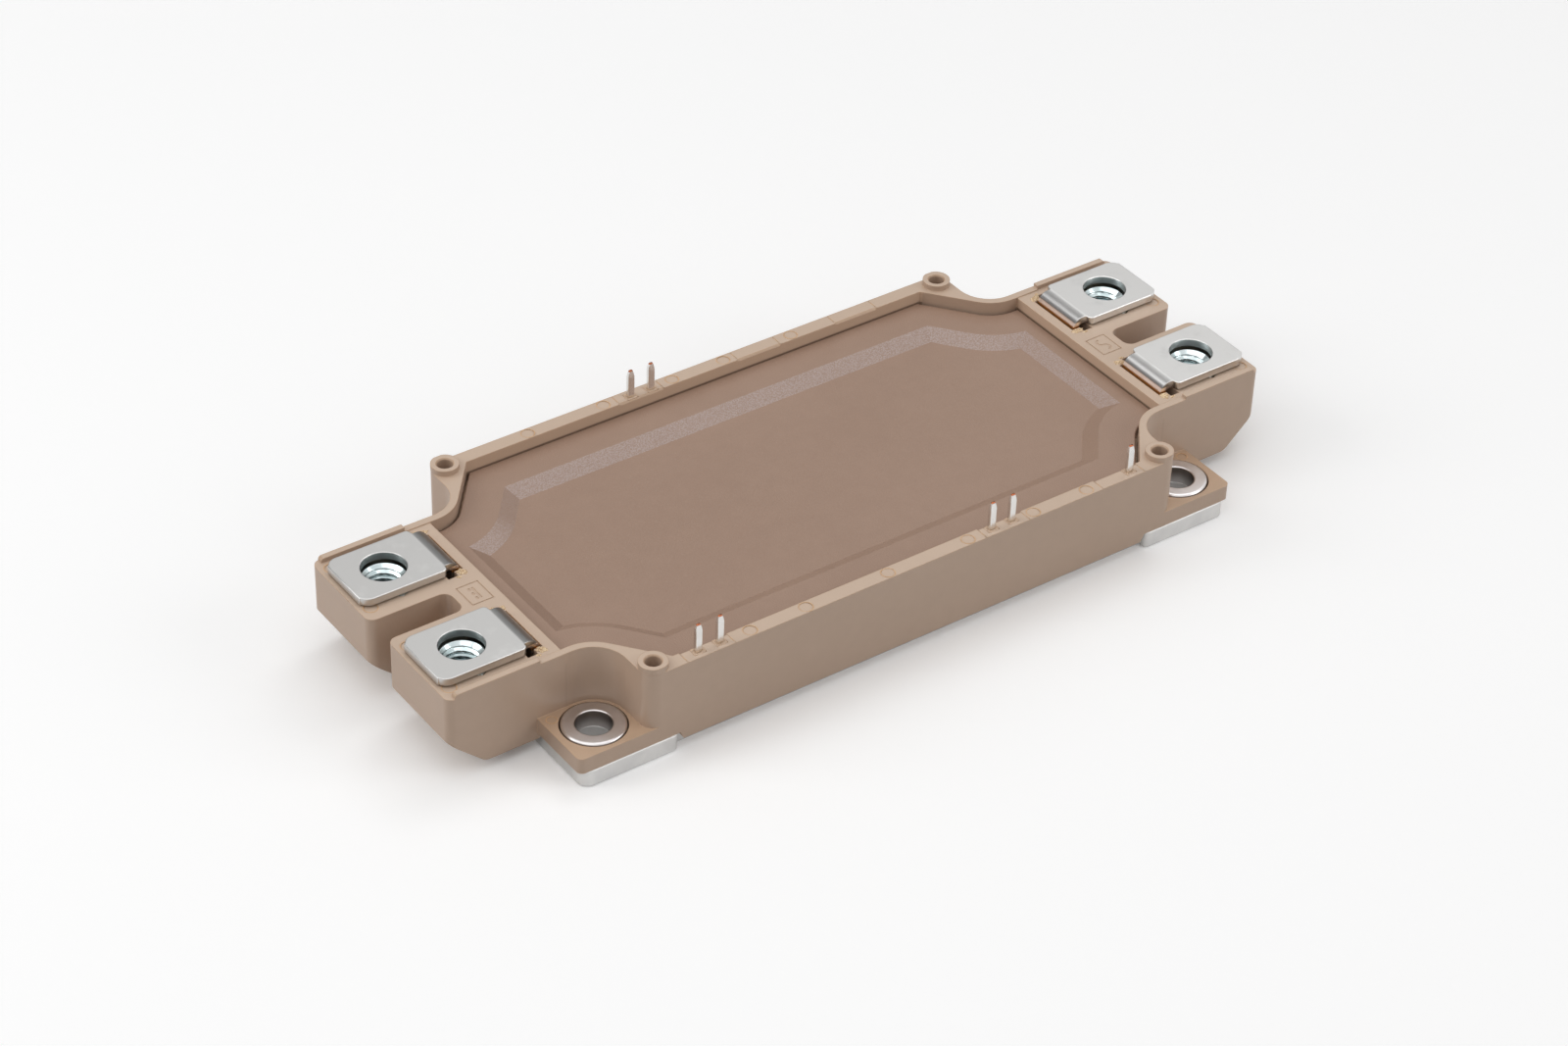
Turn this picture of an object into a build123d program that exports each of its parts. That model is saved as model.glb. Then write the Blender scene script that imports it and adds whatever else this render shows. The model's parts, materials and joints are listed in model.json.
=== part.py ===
from build123d import *
from math import asin, cos, dist, radians, sin, sqrt, tan
import os

# Half-bridge transistor module: a moulded frame on a copper base plate, two screw terminals at
# each end, seven signal pins and a sunken lid over three populated ceramic substrates.
# Frame of the part: X runs from the direct-current end to the phase end, Y from the front rim to
# the back rim, Z up. The origin is the centre of the underside of the base plate.
# All lengths are in millimetres. Places are given for one quarter and repeated by signs.

# Mounting pattern and bushings
MOUNT_X = 55.0               # half of the 110 mm hole spacing
MOUNT_Y = 25.0               # half of the 50 mm hole spacing
MOUNT_BORE = 5.5
BUSHING_D = 9.8
BUSHING_TOP = 5.95
BUSHING_EDGE = 0.4
BORE_CHAMFER = 0.3
EAR_RECESS_GAP = 0.25        # between a bushing and the ear around it

# Base plate
PLATE_T = 3.0
PLATE_END = 5.6              # from the mounting holes to the end of the plate
EAR_SIDE = 6.05              # from the mounting holes to the side of an ear of the plate
PLATE_WAIST_Y = 29.6         # edge of the plate between the ears
PLATE_EAR_L = 16.5           # from the end of the plate to where its waist begins
PLATE_CORNER_R = 1.8
PLATE_STEP_R = 0.9
PLATE_EDGE_BREAK = 0.2

# Frame: rim, S-shaped corners and ears
WALL_Y = 30.9
RIM_TOP = 15.6
RIM_T = 2.5
CORNER_WALL_T = 1.2
CORNER_WALL_R = 5.5          # outer radius of the corner wall about a mounting hole
CORNER_RUN = 51.0            # degrees, direction of the straight part of the corner wall
PARTITION_X = 56.2           # face of the end wall on the lid's side
EAR_END = 6.2                # from the mounting holes to the end of the frame's ears
EAR_TOP = 5.7
EAR_CORNER_R = 1.0
EAR_GAP_Y = 0.15             # the ears of the frame stand this far inside the plate's edge
SKIRT_BOTTOM = 1.7
SKIRT_X = 43.15
SKIRT_GAP = 0.1
SKIRT_NOTCH = 0.55
SKIRT_NOTCH_H = 1.0

# Frame: terminal blocks
BLOCK_X = 76.0
BLOCK_TOP = 15.4
BLOCK_BOTTOM = 1.9
BLOCK_CORNER_R = 1.4
BLOCK_PLATE_GAP = 0.2
CHAMFER_X = 70.0             # where the slope under a block ends at the bottom
CHAMFER_Z = 7.4              # where it starts on the end face
CHAMFER_R = 2.0
GAP_W = 5.0                  # slot between the two blocks of one end
GAP_X = 62.7
GAP_R = 1.6
RIDGE_X0 = 60.5
RIDGE_X1 = 74.8
RIDGE_H = 0.75
RIDGE_W = 1.0
RIDGE_END_R = 0.6            # rounds the end of a ridge down to the block

# Frame: inside
LEDGE_Z = 12.0               # the lid lies on this ledge
LEDGE_W = 1.0
SHELF_Z = 6.4                # the terminals' runs and the signal pins' feet lie on this shelf
FLOOR_SHELF_X = 51.5
FLOOR_SHELF_Y = 24.5
FLOOR_CORNER_R = 8.2         # keeps the opening clear of the mounting holes

# Board bosses
BOSS_X = 47.25
BOSS_Y = 28.75
BOSS_R = 2.25
BOSS_TOP = 16.6
BOSS_HOLE_D = 2.5
BOSS_HOLE_DEPTH = 10.0
BOSS_EDGE = 0.2

# Lid
LID_TOP = 13.5
LID_FIT = 0.12
LID_CORNER_GAP = 0.4
FIELD_INSET = 6.25           # from the lid pocket to the sunken field, along the rim
FIELD_END_INSET = 3.0        # the same at the ends
FIELD_SLOPE = 2.5
FIELD_DEPTH = 1.4
LID_EDGE = 0.15

# Screw terminals
TERM_X = 68.5
TERM_Y = 11.0
TERM_TOP = 17.0
TERM_T = 1.3
TERM_END_X = 75.35
TERM_HEAD_R = 2.0
TERM_SHOULDER_X = 60.9
TERM_SHOULDER_W = 1.1        # how far a shoulder of the head stands out from the neck
TERM_SHOULDER_FLAT = 0.05
TERM_NOTCH_R = 0.3           # between the neck and a shoulder
TERM_HOLE_D = 7.0
NECK_W = 9.4
LEG_X = 58.95                # middle of the leg behind the block
LEG_BEND_R = 1.25
RUN_END_X = 48.9
BAR_X = 51.1                 # the cross bar lies between this and the end of the run
STEP_X = 47.2
STEP_BEND_R = 1.05
FOOT_X = 43.6
FOOT_W = 4.4
PHASE_FEET_Y = (-5.6, 1.0)   # the two phase feet share the middle track
SLOT_GAP = 0.25              # clearance around a neck in the frame
SLOT_IN_GAP = 0.4
SHOULDER_SLOT_X0 = 59.4
SHOULDER_SLOT_X1 = 61.1
SHOULDER_SLOT_GAP = 0.35
SHOULDER_SLOT_DEPTH = 3.4

# Nuts and screw wells
NUT_AF = 10.0
NUT_H = 5.0
NUT_TOP = 15.1
NUT_BORE_D = 5.0             # minor diameter of the M6 thread
NUT_MOUTH_D = 6.7
NUT_CORNER_DROP = 0.75
NUT_FIT = 0.15
WELL_D = 7.0
WELL_FLOOR = 4.4

# Signal pins
PIN_W = 1.15
PIN_T = 0.8
PIN_Y = 29.4
PIN_TOP = 20.5
PIN_TIP_H = 0.9
PIN_TIP_W = 0.6
PIN_TIP_T = 0.35
PIN_FOOT_Y = 25.7            # middle of the pad at the end of a pin's foot
PIN_PAD_W = 2.4
PIN_PAD_L = 1.9
PIN_POCKET = 0.4             # rim pocket around a pin, beyond its section
PIN_POCKET_DEPTH = 0.3
FRONT_PINS_X = (-39.9, -36.1, 13.75, 17.55, 40.6)
BACK_PINS_X = (-12.75, -8.95)

# Marks of the mould on the rim and the blocks
INSERT_L = 8.3
INSERT_LINE = 0.12
INSERT_CHAMFER = 0.3
MARK_D = 2.3
MARK_DEPTH = 0.06
MARK_Y = 29.65
FRONT_INSERTS_X = (-38.4, 15.9, 38.5)
BACK_INSERTS_X = (-11.25, 11.4, 30.65)
FRONT_MARKS_X = (-30.9, -20.9, -5.9, 9.1, 21.6, 32.0)
BACK_MARKS_X = (-31.7, -17.7, -4.7, 5.2, 18.4)
BLOCK_MARK_X = 74.1
BLOCK_MARKS_Y = (5.3, 16.7)
EAR_MARK_X = 59.6
EAR_MARK_Y = 20.9
EAR_MARK_D = 1.7
SIGN_X0 = 57.65              # engraved outline between the terminals of one end
SIGN_X1 = 61.4
SIGN_HALF_Y = 2.4
SIGN_LINE = 0.16
SIGN_DEPTH = 0.1
SIGN_STROKE = 0.3
SIGN_BAR = 2.8

# Circuit inside
SUBSTRATE_PITCH = 33.0
CERAMIC_X = 30.0
CERAMIC_Y = 40.0
CERAMIC_T = 0.4
COPPER_T = 0.3
COPPER_MARGIN = 1.0
SOLDER_T = 0.2
CHIP_SOLDER_T = 0.1
CHIP_T = 0.2
PLUS_TRACK = (4.2, 13.6)     # each track runs from the first to the second Y
PHASE_TRACK = (-8.0, 3.4)
MINUS_TRACK = (-13.6, -8.8)
GATE_TRACKS = ((14.8, 16.4), (17.2, 18.8), (-16.4, -14.8), (-18.8, -17.2))
IGBT_X = 7.0
IGBT_SIZE = (11.0, 8.5)
DIODE_X = -4.5
DIODE_SIZE = (8.0, 7.0)
HIGH_CHIPS_Y = 8.9
LOW_CHIPS_Y = -3.4
RIBBON_W = 1.4
RIBBON_T = 0.3
RIBBON_REACH = 6.6           # from the middle of a chip to its landing on the next track
RIBBON_RISE = 1.1
RIBBON_PITCH = 2.6
RIBBON_FOOT = 1.0
SIGNAL_BOND_W = 0.5
SIGNAL_BOND_RISE = 0.8
SIGNAL_LANDING_Y = 18.0
SIGNAL_LANDINGS_X = (-39.9, -36.1, 12.9, 20.2, 40.6, -12.75, -8.95)
GATE_X = 4.6                 # from the middle of a transistor chip to its gate pad
GATE_Y = 3.3
THERMISTOR_L = 3.2
THERMISTOR_W = 1.6
THERMISTOR_H = 1.1
THERMISTOR_X = -11.0
GEL_TOP = 9.6
BEAD_W = 1.2
BEAD_H = 0.45
BEAD_INSET = 0.8

# Worked out from the sizes above
PLATE_X = MOUNT_X + PLATE_END
PLATE_EAR_X = PLATE_X - PLATE_EAR_L
EAR_X = MOUNT_X + EAR_END
EAR_Y = MOUNT_Y + EAR_SIDE
POCKET_Y = WALL_Y - RIM_T
BLOCK_Y = MOUNT_Y - CORNER_WALL_R
WALL_X = MOUNT_X - CORNER_WALL_R
POCKET_R = CORNER_WALL_R + CORNER_WALL_T
EAR_RECESS_D = BUSHING_D + 2 * EAR_RECESS_GAP
FRAME_EAR_Y = EAR_Y - EAR_GAP_Y
TERM_HEAD_W = NECK_W + 2 * TERM_SHOULDER_W
TERM_SHOULDER_R = TERM_SHOULDER_W - TERM_NOTCH_R - TERM_SHOULDER_FLAT
SHOULDER_SLOT_W = TERM_HEAD_W + 2 * SHOULDER_SLOT_GAP
TERM_MID_Z = TERM_TOP - TERM_T / 2
RUN_Z = SHELF_Z + TERM_T / 2
COPPER_TOP = PLATE_T + SOLDER_T + COPPER_T + CERAMIC_T + COPPER_T
CERAMIC_TOP = COPPER_TOP - COPPER_T
COPPER_X = CERAMIC_X - 2 * COPPER_MARGIN
COPPER_Y = CERAMIC_Y - 2 * COPPER_MARGIN
FOOT_Z = COPPER_TOP + TERM_T / 2
CHIP_TOP = COPPER_TOP + CHIP_SOLDER_T + CHIP_T
NUT_BOTTOM = NUT_TOP - NUT_H
NUT_CORNER_R = NUT_AF / sqrt(3)
PIN_SHAFT_TOP = PIN_TOP - PIN_TIP_H
PIN_FOOT_LENGTH = PIN_Y - PIN_FOOT_Y
ENDS = (-1, 1)
QUARTERS = [(sx, sy) for sx in ENDS for sy in ENDS]
MOUNTS = [(sx * MOUNT_X, sy * MOUNT_Y) for sx, sy in QUARTERS]
BOSSES = [(sx * BOSS_X, sy * BOSS_Y) for sx, sy in QUARTERS]
TERMINALS = [(sx * TERM_X, sy * TERM_Y) for sx, sy in QUARTERS]
SIGNAL_PINS = [(x, -1) for x in FRONT_PINS_X] + [(x, 1) for x in BACK_PINS_X]
INSERTS = [(x, -1) for x in FRONT_INSERTS_X] + [(x, 1) for x in BACK_INSERTS_X]
TERMINAL_FEET = [(-1, -1, -TERM_Y, "terminal_dc_minus"), (-1, 1, TERM_Y, "terminal_dc_plus"),
                 (1, -1, PHASE_FEET_Y[0], "terminal_ac_front"), (1, 1, PHASE_FEET_Y[1], "terminal_ac_rear")]
SUBSTRATES_X = [i * SUBSTRATE_PITCH for i in (-1, 0, 1)]
CHIP_SIDES = (1, 1, -1)      # the right substrate is turned, so that its chips clear the feet
IGBTS_X = [x + side * IGBT_X for x, side in zip(SUBSTRATES_X, CHIP_SIDES)]
DIODES_X = [x + side * DIODE_X for x, side in zip(SUBSTRATES_X, CHIP_SIDES)]
GATES_X = [x + side * GATE_X for x, side in zip(IGBTS_X, CHIP_SIDES)]
THERMISTOR_Y = (GATE_TRACKS[2][0] + GATE_TRACKS[3][1]) / 2

os.makedirs("parts", exist_ok=True)


def save(part, name):
    """Label a finished piece and write it."""
    part.label = name
    export_step(part, f"parts/{name}.step")


def on_quarters(x, y):
    """The same place in all four quarters."""
    return [(sx * x, sy * y) for sx, sy in QUARTERS]


def corner_run(radius, y_end):
    """Straight corner run: tangent to the circle about a mounting hole, up to the line y_end."""
    away = radians(CORNER_RUN - 90)
    tangent_x = MOUNT_X - radius * cos(away)
    tangent_y = MOUNT_Y + radius * sin(away)
    end_x = tangent_x - (y_end - tangent_y) / tan(radians(CORNER_RUN))
    return tangent_x, tangent_y, end_x


def plan(z, x_end, y_end, radius):
    """Outline that follows the frame's inside: straight sides, and corners that curve in."""
    tangent_x, tangent_y, end_x = corner_run(radius, y_end)
    short = max(MOUNT_X - x_end, 0)
    arc_y = MOUNT_Y - sqrt(radius**2 - short**2)
    middle = (asin(short / radius) + radians(CORNER_RUN)) / 2
    bow_x, bow_y = MOUNT_X - radius * sin(middle), MOUNT_Y - radius * cos(middle)
    with BuildSketch(Plane.XY.offset(z)) as outline:
        with BuildLine():
            for sx, sy in QUARTERS:
                arc_start = (sx * (MOUNT_X - short), sy * arc_y)
                tangent = (sx * tangent_x, sy * tangent_y)
                Line((sx * x_end, 0), (sx * x_end, sy * arc_y))
                if x_end > MOUNT_X:
                    Line((sx * x_end, sy * arc_y), arc_start)
                ThreePointArc(arc_start, (sx * bow_x, sy * bow_y), tangent)
                Line(tangent, (sx * end_x, sy * y_end))
                Line((sx * end_x, sy * y_end), (0, sy * y_end))
        make_face()
    return outline.sketch


def inside_plan(z, inset, end_inset):
    """The lid pocket's outline, drawn in by the insets."""
    return plan(z, PARTITION_X - end_inset, POCKET_Y - inset, POCKET_R + inset)


def field_plan(z, more):
    """Outline of the lid's sunken field, drawn in by a distance."""
    return inside_plan(z, FIELD_INSET + more, FIELD_END_INSET + more)


def floor_plan(z, spread):
    """Opening of the frame above the base plate, spread outwards, clear of the mounting holes."""
    corner_r = FLOOR_CORNER_R - spread
    with BuildSketch(Plane.XY.offset(z)) as outline:
        Rectangle(2 * (FLOOR_SHELF_X + spread), 2 * (FLOOR_SHELF_Y + spread))
        with Locations(*MOUNTS):
            Circle(corner_r, mode=Mode.SUBTRACT)
        with Locations(*on_quarters(MOUNT_X + corner_r, MOUNT_Y)):
            Rectangle(2 * corner_r, 2 * corner_r, mode=Mode.SUBTRACT)
        with Locations(*on_quarters(MOUNT_X, MOUNT_Y + corner_r)):
            Rectangle(2 * corner_r, 2 * corner_r, mode=Mode.SUBTRACT)
    return outline.sketch


def bead_plan():
    """Ring of the adhesive bead, set back from the opening above the base plate."""
    return floor_plan(PLATE_T, BEAD_INSET + BEAD_W) - floor_plan(PLATE_T, BEAD_INSET)


def bond_face(start, end, foot, rise, thickness):
    """Side view of a bond: a foot on each surface and an arch between, as an upright face."""
    start_at, end_at = Vector(*start), Vector(*end)
    reach = dist(start[:2], end[:2])
    drop = end[2] - start[2]
    along = (end_at - start_at) - Vector(0, 0, drop)
    lift = thickness / 2
    with BuildSketch(Plane(origin=start_at, x_dir=along, z_dir=along.cross(Vector(0, 0, 1)))) as face:
        with BuildLine() as path:
            FilletPolyline((-foot / 2, lift), (foot / 2, lift), (reach / 2, max(0, drop) + rise),
                           (reach - foot / 2, drop + lift), (reach + foot / 2, drop + lift), radius=foot)
        trace(path.line, thickness)
    return face.sketch


# Base plate: stamped copper with four ears, a narrower waist and rounded steps
with BuildPart() as base_plate:
    with BuildSketch():
        Rectangle(2 * PLATE_X, 2 * PLATE_WAIST_Y)
        with Locations(*[(sx * (PLATE_X - PLATE_EAR_L / 2), 0) for sx in ENDS]):
            Rectangle(PLATE_EAR_L, 2 * EAR_Y)
    extrude(amount=PLATE_T)
    corners = base_plate.edges().filter_by(Axis.Z)
    fillet([e for e in corners if abs(abs(e.center().X) - PLATE_X) < PLATE_EDGE_BREAK], PLATE_CORNER_R)
    corners = base_plate.edges().filter_by(Axis.Z)
    fillet([e for e in corners if abs(abs(e.center().X) - PLATE_EAR_X) < PLATE_EDGE_BREAK
            and abs(e.center().Y) > PLATE_WAIST_Y + PLATE_EDGE_BREAK], PLATE_STEP_R)
    chamfer(base_plate.faces().sort_by(Axis.Z)[0].outer_wire().edges(), PLATE_EDGE_BREAK)
    with Locations(*MOUNTS):
        Hole(MOUNT_BORE / 2)
save(base_plate.part, "base_plate")

# Frame: one moulding
with BuildPart() as housing_frame:
    # rim and corner walls down to the base plate
    with BuildSketch(Plane.XY.offset(PLATE_T)):
        Rectangle(2 * WALL_X, 2 * WALL_Y)
        fillet(vertices(), BOSS_R)
        Rectangle(2 * RIDGE_X0, 2 * BLOCK_Y)
        with Locations(*on_quarters((WALL_X + MOUNT_X) / 2, (BLOCK_Y + MOUNT_Y) / 2)):
            Rectangle(CORNER_WALL_R, CORNER_WALL_R)
        with Locations(*MOUNTS):
            Circle(CORNER_WALL_R, mode=Mode.SUBTRACT)
    extrude(amount=RIM_TOP - PLATE_T)
    # skirts over the waist of the base plate, with a small sloped notch at their ends
    skirt_t = WALL_Y - PLATE_WAIST_Y - SKIRT_GAP
    skirt_side = Plane.XZ.offset(-WALL_Y)
    notch_x, notch_z = SKIRT_X + SKIRT_NOTCH, SKIRT_BOTTOM + SKIRT_NOTCH_H
    with BuildSketch(skirt_side, skirt_side.offset(2 * WALL_Y - skirt_t)):
        with BuildLine():
            Polyline((-SKIRT_X, SKIRT_BOTTOM), (SKIRT_X, SKIRT_BOTTOM), (notch_x, notch_z),
                     (notch_x, PLATE_T), (-notch_x, PLATE_T), (-notch_x, notch_z), close=True)
        make_face()
    extrude(amount=skirt_t)
    # terminal blocks: beside the base plate they start further out
    block_starts = ((BLOCK_BOTTOM, PLATE_X + BLOCK_PLATE_GAP, PLATE_T), (PLATE_T, MOUNT_X, BLOCK_TOP))
    for bottom, start_x, top in block_starts:
        with BuildSketch(Plane.XY.offset(bottom)):
            with Locations(*[(sx * (BLOCK_X + start_x) / 2, 0) for sx in ENDS]):
                Rectangle(BLOCK_X - start_x, 2 * BLOCK_Y)
            with Locations(*[(sx * (BLOCK_X + GAP_X) / 2, 0) for sx in ENDS]):
                Rectangle(BLOCK_X - GAP_X, GAP_W, mode=Mode.SUBTRACT)
        extrude(amount=top - bottom)
    with BuildSketch(Plane.XY.offset(BLOCK_TOP)):
        with Locations(*[(sx * (PARTITION_X + RIDGE_X0) / 2, 0) for sx in ENDS]):
            Rectangle(RIDGE_X0 - PARTITION_X, 2 * (BLOCK_Y - CORNER_WALL_T))
    extrude(amount=RIM_TOP - BLOCK_TOP, mode=Mode.SUBTRACT)
    uprights = housing_frame.edges().filter_by(Axis.Z)
    fillet([e for e in uprights if abs(e.center().X) > BLOCK_X - CORNER_WALL_T], BLOCK_CORNER_R)
    uprights = housing_frame.edges().filter_by(Axis.Z)
    fillet([e for e in uprights if abs(abs(e.center().X) - GAP_X) < SLOT_GAP
            and abs(e.center().Y) < GAP_W], GAP_R)
    # slope under the blocks, with a rounded start
    slope_end_x = BLOCK_X + RIDGE_W
    slope_end_z = CHAMFER_Z + RIDGE_W * (CHAMFER_Z - BLOCK_BOTTOM) / (BLOCK_X - CHAMFER_X)
    for sx in ENDS:
        with BuildSketch(Plane.XZ.offset(-BLOCK_Y)):
            with BuildLine():
                start, end = (sx * (CHAMFER_X - CHAMFER_R), BLOCK_BOTTOM), (sx * slope_end_x, slope_end_z)
                FilletPolyline(start, (sx * CHAMFER_X, BLOCK_BOTTOM), end, radius=CHAMFER_R)
                Polyline(end, (sx * slope_end_x, 0), (sx * (CHAMFER_X - CHAMFER_R), 0), start)
            make_face()
        extrude(amount=2 * BLOCK_Y, mode=Mode.SUBTRACT)
    # ridge along the outer edge of each block, rounded down at its end
    ridge_side = Plane.XZ.offset(-BLOCK_Y)
    ridge_x, ridge_z = (RIDGE_X0 + RIDGE_X1) / 2, BLOCK_TOP + RIDGE_H / 2
    with BuildSketch(ridge_side, ridge_side.offset(2 * BLOCK_Y - RIDGE_W)) as ridges:
        with Locations(*[(sx * ridge_x, ridge_z) for sx in ENDS]):
            Rectangle(RIDGE_X1 - RIDGE_X0, RIDGE_H)
        fillet([v for v in ridges.vertices() if abs(v.X) > TERM_X and v.Y > ridge_z], RIDGE_END_R)
    extrude(amount=RIDGE_W)
    # ears around the bushings
    ear_x0, ear_y0 = WALL_X - BOSS_R, BLOCK_Y - RIDGE_W
    with BuildSketch(Plane.XY.offset(PLATE_T)) as ears:
        with Locations(*on_quarters((ear_x0 + EAR_X) / 2, (ear_y0 + FRAME_EAR_Y) / 2)):
            Rectangle(EAR_X - ear_x0, FRAME_EAR_Y - ear_y0)
        fillet([v for v in ears.vertices() if abs(v.X) > MOUNT_X and abs(v.Y) > MOUNT_Y], EAR_CORNER_R)
        with Locations(*MOUNTS):
            Circle(EAR_RECESS_D / 2, mode=Mode.SUBTRACT)
    extrude(amount=EAR_TOP - PLATE_T)
    # lid pocket, inner wall and the opening above the base plate
    extrude(inside_plan(LEDGE_Z, 0, 0), amount=RIM_TOP - LEDGE_Z, mode=Mode.SUBTRACT)
    extrude(inside_plan(SHELF_Z, LEDGE_W, LEDGE_W), amount=LEDGE_Z - SHELF_Z, mode=Mode.SUBTRACT)
    extrude(floor_plan(PLATE_T, 0), amount=SHELF_Z - PLATE_T, mode=Mode.SUBTRACT)
    # groove for the adhesive bead
    extrude(bead_plan(), amount=BEAD_H, mode=Mode.SUBTRACT)
    # slot, channel and shoulder recess for each terminal
    neck_slot_w = NECK_W + 2 * SLOT_GAP
    slot_x0, slot_x1 = LEG_X - TERM_T / 2 - SLOT_IN_GAP, LEG_X + TERM_T / 2 + SLOT_IN_GAP
    with BuildSketch(Plane.XY.offset(SHELF_Z)):
        with Locations(*on_quarters((slot_x0 + slot_x1) / 2, TERM_Y)):
            Rectangle(slot_x1 - slot_x0, neck_slot_w)
    extrude(amount=BLOCK_TOP - SHELF_Z, mode=Mode.SUBTRACT)
    with BuildSketch(Plane.XY.offset(SHELF_Z)):
        with Locations(*on_quarters((MOUNT_X + slot_x1) / 2, TERM_Y)):
            Rectangle(slot_x1 - MOUNT_X, neck_slot_w)
    extrude(amount=TERM_T + SLOT_IN_GAP, mode=Mode.SUBTRACT)
    with BuildSketch(Plane.XY.offset(BLOCK_TOP)):
        with Locations(*on_quarters((SHOULDER_SLOT_X0 + SHOULDER_SLOT_X1) / 2, TERM_Y)):
            Rectangle(SHOULDER_SLOT_X1 - SHOULDER_SLOT_X0, SHOULDER_SLOT_W)
    extrude(amount=-SHOULDER_SLOT_DEPTH, mode=Mode.SUBTRACT)
    # nut pockets with the screw wells below them
    with BuildSketch(Plane.XY.offset(NUT_BOTTOM)):
        with Locations(*TERMINALS):
            RegularPolygon(NUT_AF / 2 + NUT_FIT, 6, major_radius=False, rotation=90)
    extrude(amount=BLOCK_TOP - NUT_BOTTOM, mode=Mode.SUBTRACT)
    with BuildSketch(Plane.XY.offset(WELL_FLOOR)):
        with Locations(*TERMINALS):
            Circle(WELL_D / 2)
    extrude(amount=NUT_BOTTOM - WELL_FLOOR, mode=Mode.SUBTRACT)
    # signal pins: upright passage, foot tunnel and rim pocket
    with BuildSketch(Plane.XY.offset(SHELF_Z)):
        with Locations(*[(x, sy * PIN_Y) for x, sy in SIGNAL_PINS]):
            Rectangle(PIN_W, PIN_T)
    extrude(amount=RIM_TOP - SHELF_Z, mode=Mode.SUBTRACT)
    with BuildSketch(Plane.XY.offset(SHELF_Z)):
        with Locations(*[(x, sy * (PIN_FOOT_Y + PIN_Y) / 2) for x, sy in SIGNAL_PINS]):
            Rectangle(PIN_W, PIN_FOOT_LENGTH)
    extrude(amount=PIN_T, mode=Mode.SUBTRACT)
    with BuildSketch(Plane.XY.offset(RIM_TOP)):
        with Locations(*[(x, sy * PIN_Y) for x, sy in SIGNAL_PINS]):
            Rectangle(PIN_W + 2 * PIN_POCKET, PIN_T + 2 * PIN_POCKET)
    extrude(amount=-PIN_POCKET_DEPTH, mode=Mode.SUBTRACT)
    # board bosses with blind pilot holes, cut flat by the wall's plane
    with BuildSketch(Plane.XY.offset(RIM_TOP)):
        with Locations(*BOSSES):
            Circle(BOSS_R)
        Rectangle(2 * BLOCK_X, 2 * WALL_Y, mode=Mode.INTERSECT)
    extrude(amount=BOSS_TOP - RIM_TOP)
    with Locations(*[(x, y, BOSS_TOP) for x, y in BOSSES]):
        CounterSinkHole(BOSS_HOLE_D / 2, BOSS_HOLE_D / 2 + BOSS_EDGE, depth=BOSS_HOLE_DEPTH)
    # marks on the rim: ejector pins, and a fine line across the rim at each end of an insert
    with BuildSketch(Plane.XY.offset(RIM_TOP)):
        with Locations(*[(x, -MARK_Y) for x in FRONT_MARKS_X], *[(x, MARK_Y) for x in BACK_MARKS_X]):
            Circle(MARK_D / 2)
        insert_ends = [(x + end * INSERT_L / 2, sy) for x, sy in INSERTS for end in ENDS]
        with Locations(*[(x, sy * (POCKET_Y + RIM_T / 2)) for x, sy in insert_ends]):
            Rectangle(INSERT_LINE, RIM_T)
    extrude(amount=-MARK_DEPTH, mode=Mode.SUBTRACT)
    for side in ENDS:
        with BuildSketch(*[Plane.YZ.offset(x - INSERT_L / 2) for x, sy in INSERTS if sy == side]):
            with BuildLine():
                Polyline((side * POCKET_Y, RIM_TOP), (side * (POCKET_Y + INSERT_CHAMFER), RIM_TOP),
                         (side * POCKET_Y, RIM_TOP - INSERT_CHAMFER), close=True)
            make_face()
        extrude(amount=INSERT_L, mode=Mode.SUBTRACT)
    # ejector marks on the blocks and the ears
    with BuildSketch(Plane.XY.offset(BLOCK_TOP)):
        for y in BLOCK_MARKS_Y:
            with Locations(*on_quarters(BLOCK_MARK_X, y)):
                Circle(MARK_D / 2)
    extrude(amount=-MARK_DEPTH, mode=Mode.SUBTRACT)
    with BuildSketch(Plane.XY.offset(EAR_TOP)):
        with Locations(*on_quarters(EAR_MARK_X, EAR_MARK_Y)):
            Circle(EAR_MARK_D / 2)
    extrude(amount=-MARK_DEPTH, mode=Mode.SUBTRACT)
    # engraved outline with a sign between the blocks: bar over dashes, and a wave at the phase end
    sign_x, sign_length = (SIGN_X0 + SIGN_X1) / 2, SIGN_X1 - SIGN_X0
    crest, dash = SIGN_BAR / 4, SIGN_BAR / 5
    with BuildSketch(Plane.XY.offset(BLOCK_TOP)):
        with Locations(*[(sx * sign_x, 0) for sx in ENDS]):
            Rectangle(sign_length, 2 * SIGN_HALF_Y)
            Rectangle(sign_length - 2 * SIGN_LINE, 2 * (SIGN_HALF_Y - SIGN_LINE), mode=Mode.SUBTRACT)
        with Locations((-sign_x + SIGN_STROKE, 0)):
            Rectangle(SIGN_STROKE, SIGN_BAR)
        with Locations(*[(-sign_x - SIGN_STROKE, i * 2 * dash) for i in (-1, 0, 1)]):
            Rectangle(SIGN_STROKE, dash)
        with BuildLine() as wave:
            ThreePointArc((sign_x, -2 * crest), (sign_x + crest, -crest), (sign_x, 0))
            ThreePointArc((sign_x, 0), (sign_x - crest, crest), (sign_x, 2 * crest))
        trace(wave.line, SIGN_STROKE)
    extrude(amount=-SIGN_DEPTH, mode=Mode.SUBTRACT)
save(housing_frame.part, "housing_frame")

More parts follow.
